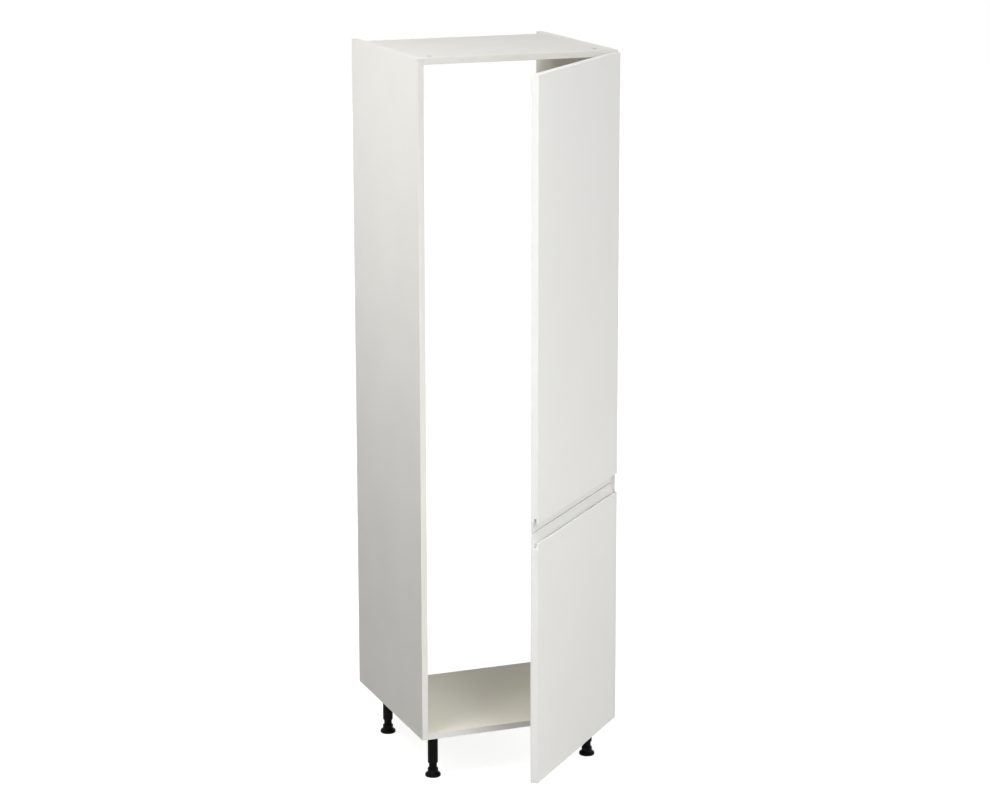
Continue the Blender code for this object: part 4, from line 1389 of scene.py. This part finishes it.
@dataclass
class Studio:
    """The pale floor, the world, the lamps and the camera.

    Attributes:
        camera_at: the camera's place.
        yaw: how far it is turned from +Y towards +X, in degrees.
        pitch: how far it looks down, in degrees.
        roll: how far it is turned about its own axis, in degrees.
        lens_mm: focal length on a 36 mm wide sensor.
        shift_y: upward shift of the picture, as a share of its width.
        floor_side: side of the square floor.
        floor_grey: the floor's colour, as sRGB hex.
        floor_glow: how bright the floor's backlight is under the object, where 1 is white.
        shadow_reach: how far from the middle the backlight reaches white.
        bounce_grey: the darker colour that it throws back at the object, as sRGB hex.
        world_level: strength of the world's light on the object.
        world_tint: colour of that light, as sRGB hex.
        lamps: the lamps.
    """

    camera_at: Point = (-2.8995, -7.3340, 2.9581)
    yaw: float = 21.243
    pitch: float = 12.304
    roll: float = -0.096
    lens_mm: float = 102.5742
    shift_y: float = -0.05
    floor_side: float = 30.0
    floor_grey: str = "B4B3AF"
    floor_glow: float = 0.86
    shadow_reach: float = 3.0
    bounce_grey: str = "7C7B78"
    world_level: float = 0.15
    world_tint: str = "FFFAF0"
    lamps: Sequence[Lamp] = (
        Lamp("front_softbox", (0.2, -6.0, 3.4), (0.0, 0.0, 1.2), 2.4, 100),
        Lamp("left_front_softbox", (-3.2, -4.2, 4.2), (0.0, 0.0, 1.2), 2.4, 15),
        Lamp("left_top_softbox", (-1.9, -0.6, 3.6), (-0.3, 0.2, 1.6), 1.2, 35),
        Lamp("left_gridded_box", (-3.2, 0.9, 2.6), (-0.3, 0.25, 1.8), 1.0, 2.8, spread=50),
        Lamp("low_front_softbox", (-0.3, -2.6, 0.35), (-0.1, 0.0, 0.3), 0.8, 14.3),
        Lamp("right_softbox", (4.8, -0.4, 2.4), (0.0, 0.0, 1.2), 2.4, 80),
        Lamp("rear_fill", (3.2, 3.4, 0.8), (0.0, 0.0, 1.0), 1.6, 9),
        Lamp("high_gridded_box", (-0.35, -2.2, 4.4), (-0.1, -0.02, 0.15), 0.6, 1.4, spread=30),
        Lamp("left_ceiling", (-3.06, -1.77, 3.54), (0.0, 0.0, 0.0), 25, 0.57, kind=LampKind.FAR),
        Lamp("front_ceiling", (-0.58, -1.61, 4.7), (0.0, 0.0, 0.0), 25, 0.23, kind=LampKind.FAR),
    )

    def aim_camera(self) -> None:
        """Make the camera."""
        camera = bpy.data.objects.new("camera", bpy.data.cameras.new("camera"))
        camera.data.sensor_width = 36
        camera.data.lens = self.lens_mm
        camera.data.shift_y = self.shift_y
        turn = (
            Matrix.Rotation(math.radians(-self.yaw), 4, "Z")
            @ Matrix.Rotation(math.radians(90 - self.pitch), 4, "X")
            @ Matrix.Rotation(math.radians(self.roll), 4, "Z")
        )
        camera.matrix_world = Matrix.Translation(self.camera_at) @ turn
        bpy.context.scene.collection.objects.link(camera)
        bpy.context.scene.camera = camera

    @staticmethod
    def seen_directly(tree: bpy.types.NodeTree) -> bpy.types.NodeSocket:
        """Return 1 for camera, glossy and transmission rays, and 0 for the rest."""
        rays = add_node(tree, "ShaderNodeLightPath")
        either = add_node(
            tree, "ShaderNodeMath", {"operation": "MAXIMUM"},
            {0: rays.outputs["Is Camera Ray"], 1: rays.outputs["Is Glossy Ray"]},
        )
        return add_node(
            tree, "ShaderNodeMath", {"operation": "MAXIMUM"},
            {0: either.outputs[0], 1: rays.outputs["Is Transmission Ray"]},
        ).outputs[0]

    def lay_floor(self) -> None:
        """Lay the floor, which the camera sees as white apart from the object's soft shadow."""
        made = Solid()
        bmesh.ops.create_grid(made.bm, x_segments=1, y_segments=1, size=self.floor_side / 2)
        floor = made.shown("studio_floor")
        material = bpy.data.materials.new("painted_studio_floor")
        material.use_nodes = True
        tree = material.node_tree
        tree.nodes.remove(tree.nodes["Principled BSDF"])
        paint = add_node(tree, "ShaderNodeBsdfDiffuse", {"Color": linear(self.floor_grey)})
        carpet = add_node(tree, "ShaderNodeBsdfDiffuse", {"Color": linear(self.bounce_grey)})
        apart = add_node(
            tree, "ShaderNodeVectorMath", {"operation": "LENGTH"},
            {0: add_node(tree, "ShaderNodeTexCoord").outputs["Object"]},
        ).outputs["Value"]
        fading = add_node(
            tree, "ShaderNodeMapRange",
            {"From Min": self.shadow_reach / 3, "From Max": self.shadow_reach,
             "To Min": self.floor_glow, "To Max": 1.0},
            {"Value": apart},
        ).outputs["Result"]
        glow = add_node(tree, "ShaderNodeEmission", None, {"Strength": fading})
        lit = add_node(tree, "ShaderNodeAddShader", None, {0: paint.outputs[0], 1: glow.outputs[0]})
        seen = add_node(
            tree, "ShaderNodeMixShader", None,
            {0: self.seen_directly(tree), 1: carpet.outputs[0], 2: lit.outputs[0]},
        )
        tree.links.new(seen.outputs[0], tree.nodes["Material Output"].inputs["Surface"])
        floor.data.materials.append(material)

    def light_world(self) -> None:
        """Make the world: white where it is seen, softer where it lights."""
        world = bpy.data.worlds.new("studio_white")
        bpy.context.scene.world = world
        world.use_nodes = True
        tree = world.node_tree
        output = tree.nodes["World Output"]
        soft = add_node(
            tree, "ShaderNodeBackground",
            {"Color": linear(self.world_tint), "Strength": self.world_level},
        )
        white = add_node(tree, "ShaderNodeBackground", {"Color": (1, 1, 1, 1), "Strength": 1.0})
        mixed = add_node(
            tree, "ShaderNodeMixShader", None,
            {0: self.seen_directly(tree), 1: soft.outputs[0], 2: white.outputs[0]},
        )
        tree.links.new(mixed.outputs[0], output.inputs["Surface"])

    def build(self) -> None:
        """Set up the whole studio."""
        scene = bpy.context.scene
        scene.view_settings.view_transform = "Standard"
        self.aim_camera()
        self.lay_floor()
        self.light_world()
        for lamp in self.lamps:
            lamp.build()


def dress_nodes(frame: dict[str, Any]) -> None:
    """Give the CAD nodes that stay in view their finish."""
    finishes = {
        "melamine_board": MELAMINE, "lacquered_door": DOOR_FOIL, "black_plastic": POLYPROPYLENE,
        "nickel_steel": NICKEL, "zinc_casting": ZINC,
    }
    for part in frame["record"]["subparts"]:
        node = frame["nodes"][part["node"]]
        finish = finishes[part["material_slot"]].build()
        for slot in node.material_slots:
            slot.material = finish


def named_joint(frame: dict[str, Any], name: str) -> dict[str, Any]:
    """Return one of the frame's joints."""
    return next(joint for joint in frame["joints"] if joint["name"] == name)


def main() -> None:
    """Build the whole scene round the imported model."""
    logging.basicConfig(level=logging.INFO, format="%(name)s: %(message)s")
    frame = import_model()
    dress_nodes(frame)
    Carcass().build()
    Cams().build()
    hinge_joint = named_joint(frame, "upper_door_hinge")
    line = hinge_joint["pos_m"]
    opening = math.radians(-hinge_joint["range_deg"][0])
    swing = Matrix.Translation((line[0], line[1], 0)) @ Matrix.Rotation(opening, 4, "Z")
    for door, hinges in HINGES.items():
        Door(door, door == "lower_door", hinges, swing).build()
        links = door.replace("door", "hinge_links")
        pivot = named_joint(frame, door.replace("door", "link_pivot"))
        pin = Matrix.Translation((pivot["pos_m"][0], pivot["pos_m"][1], 0))
        link_swing = pin @ Matrix.Rotation(LINK_SHARE * opening, 4, "Z")
        for name in hinges:
            Hinge(name, door, links, swing, link_swing).build()
    for leg in LEGS:
        Leg(leg).build()
    Studio().build()


if __name__ == "__main__":
    main()
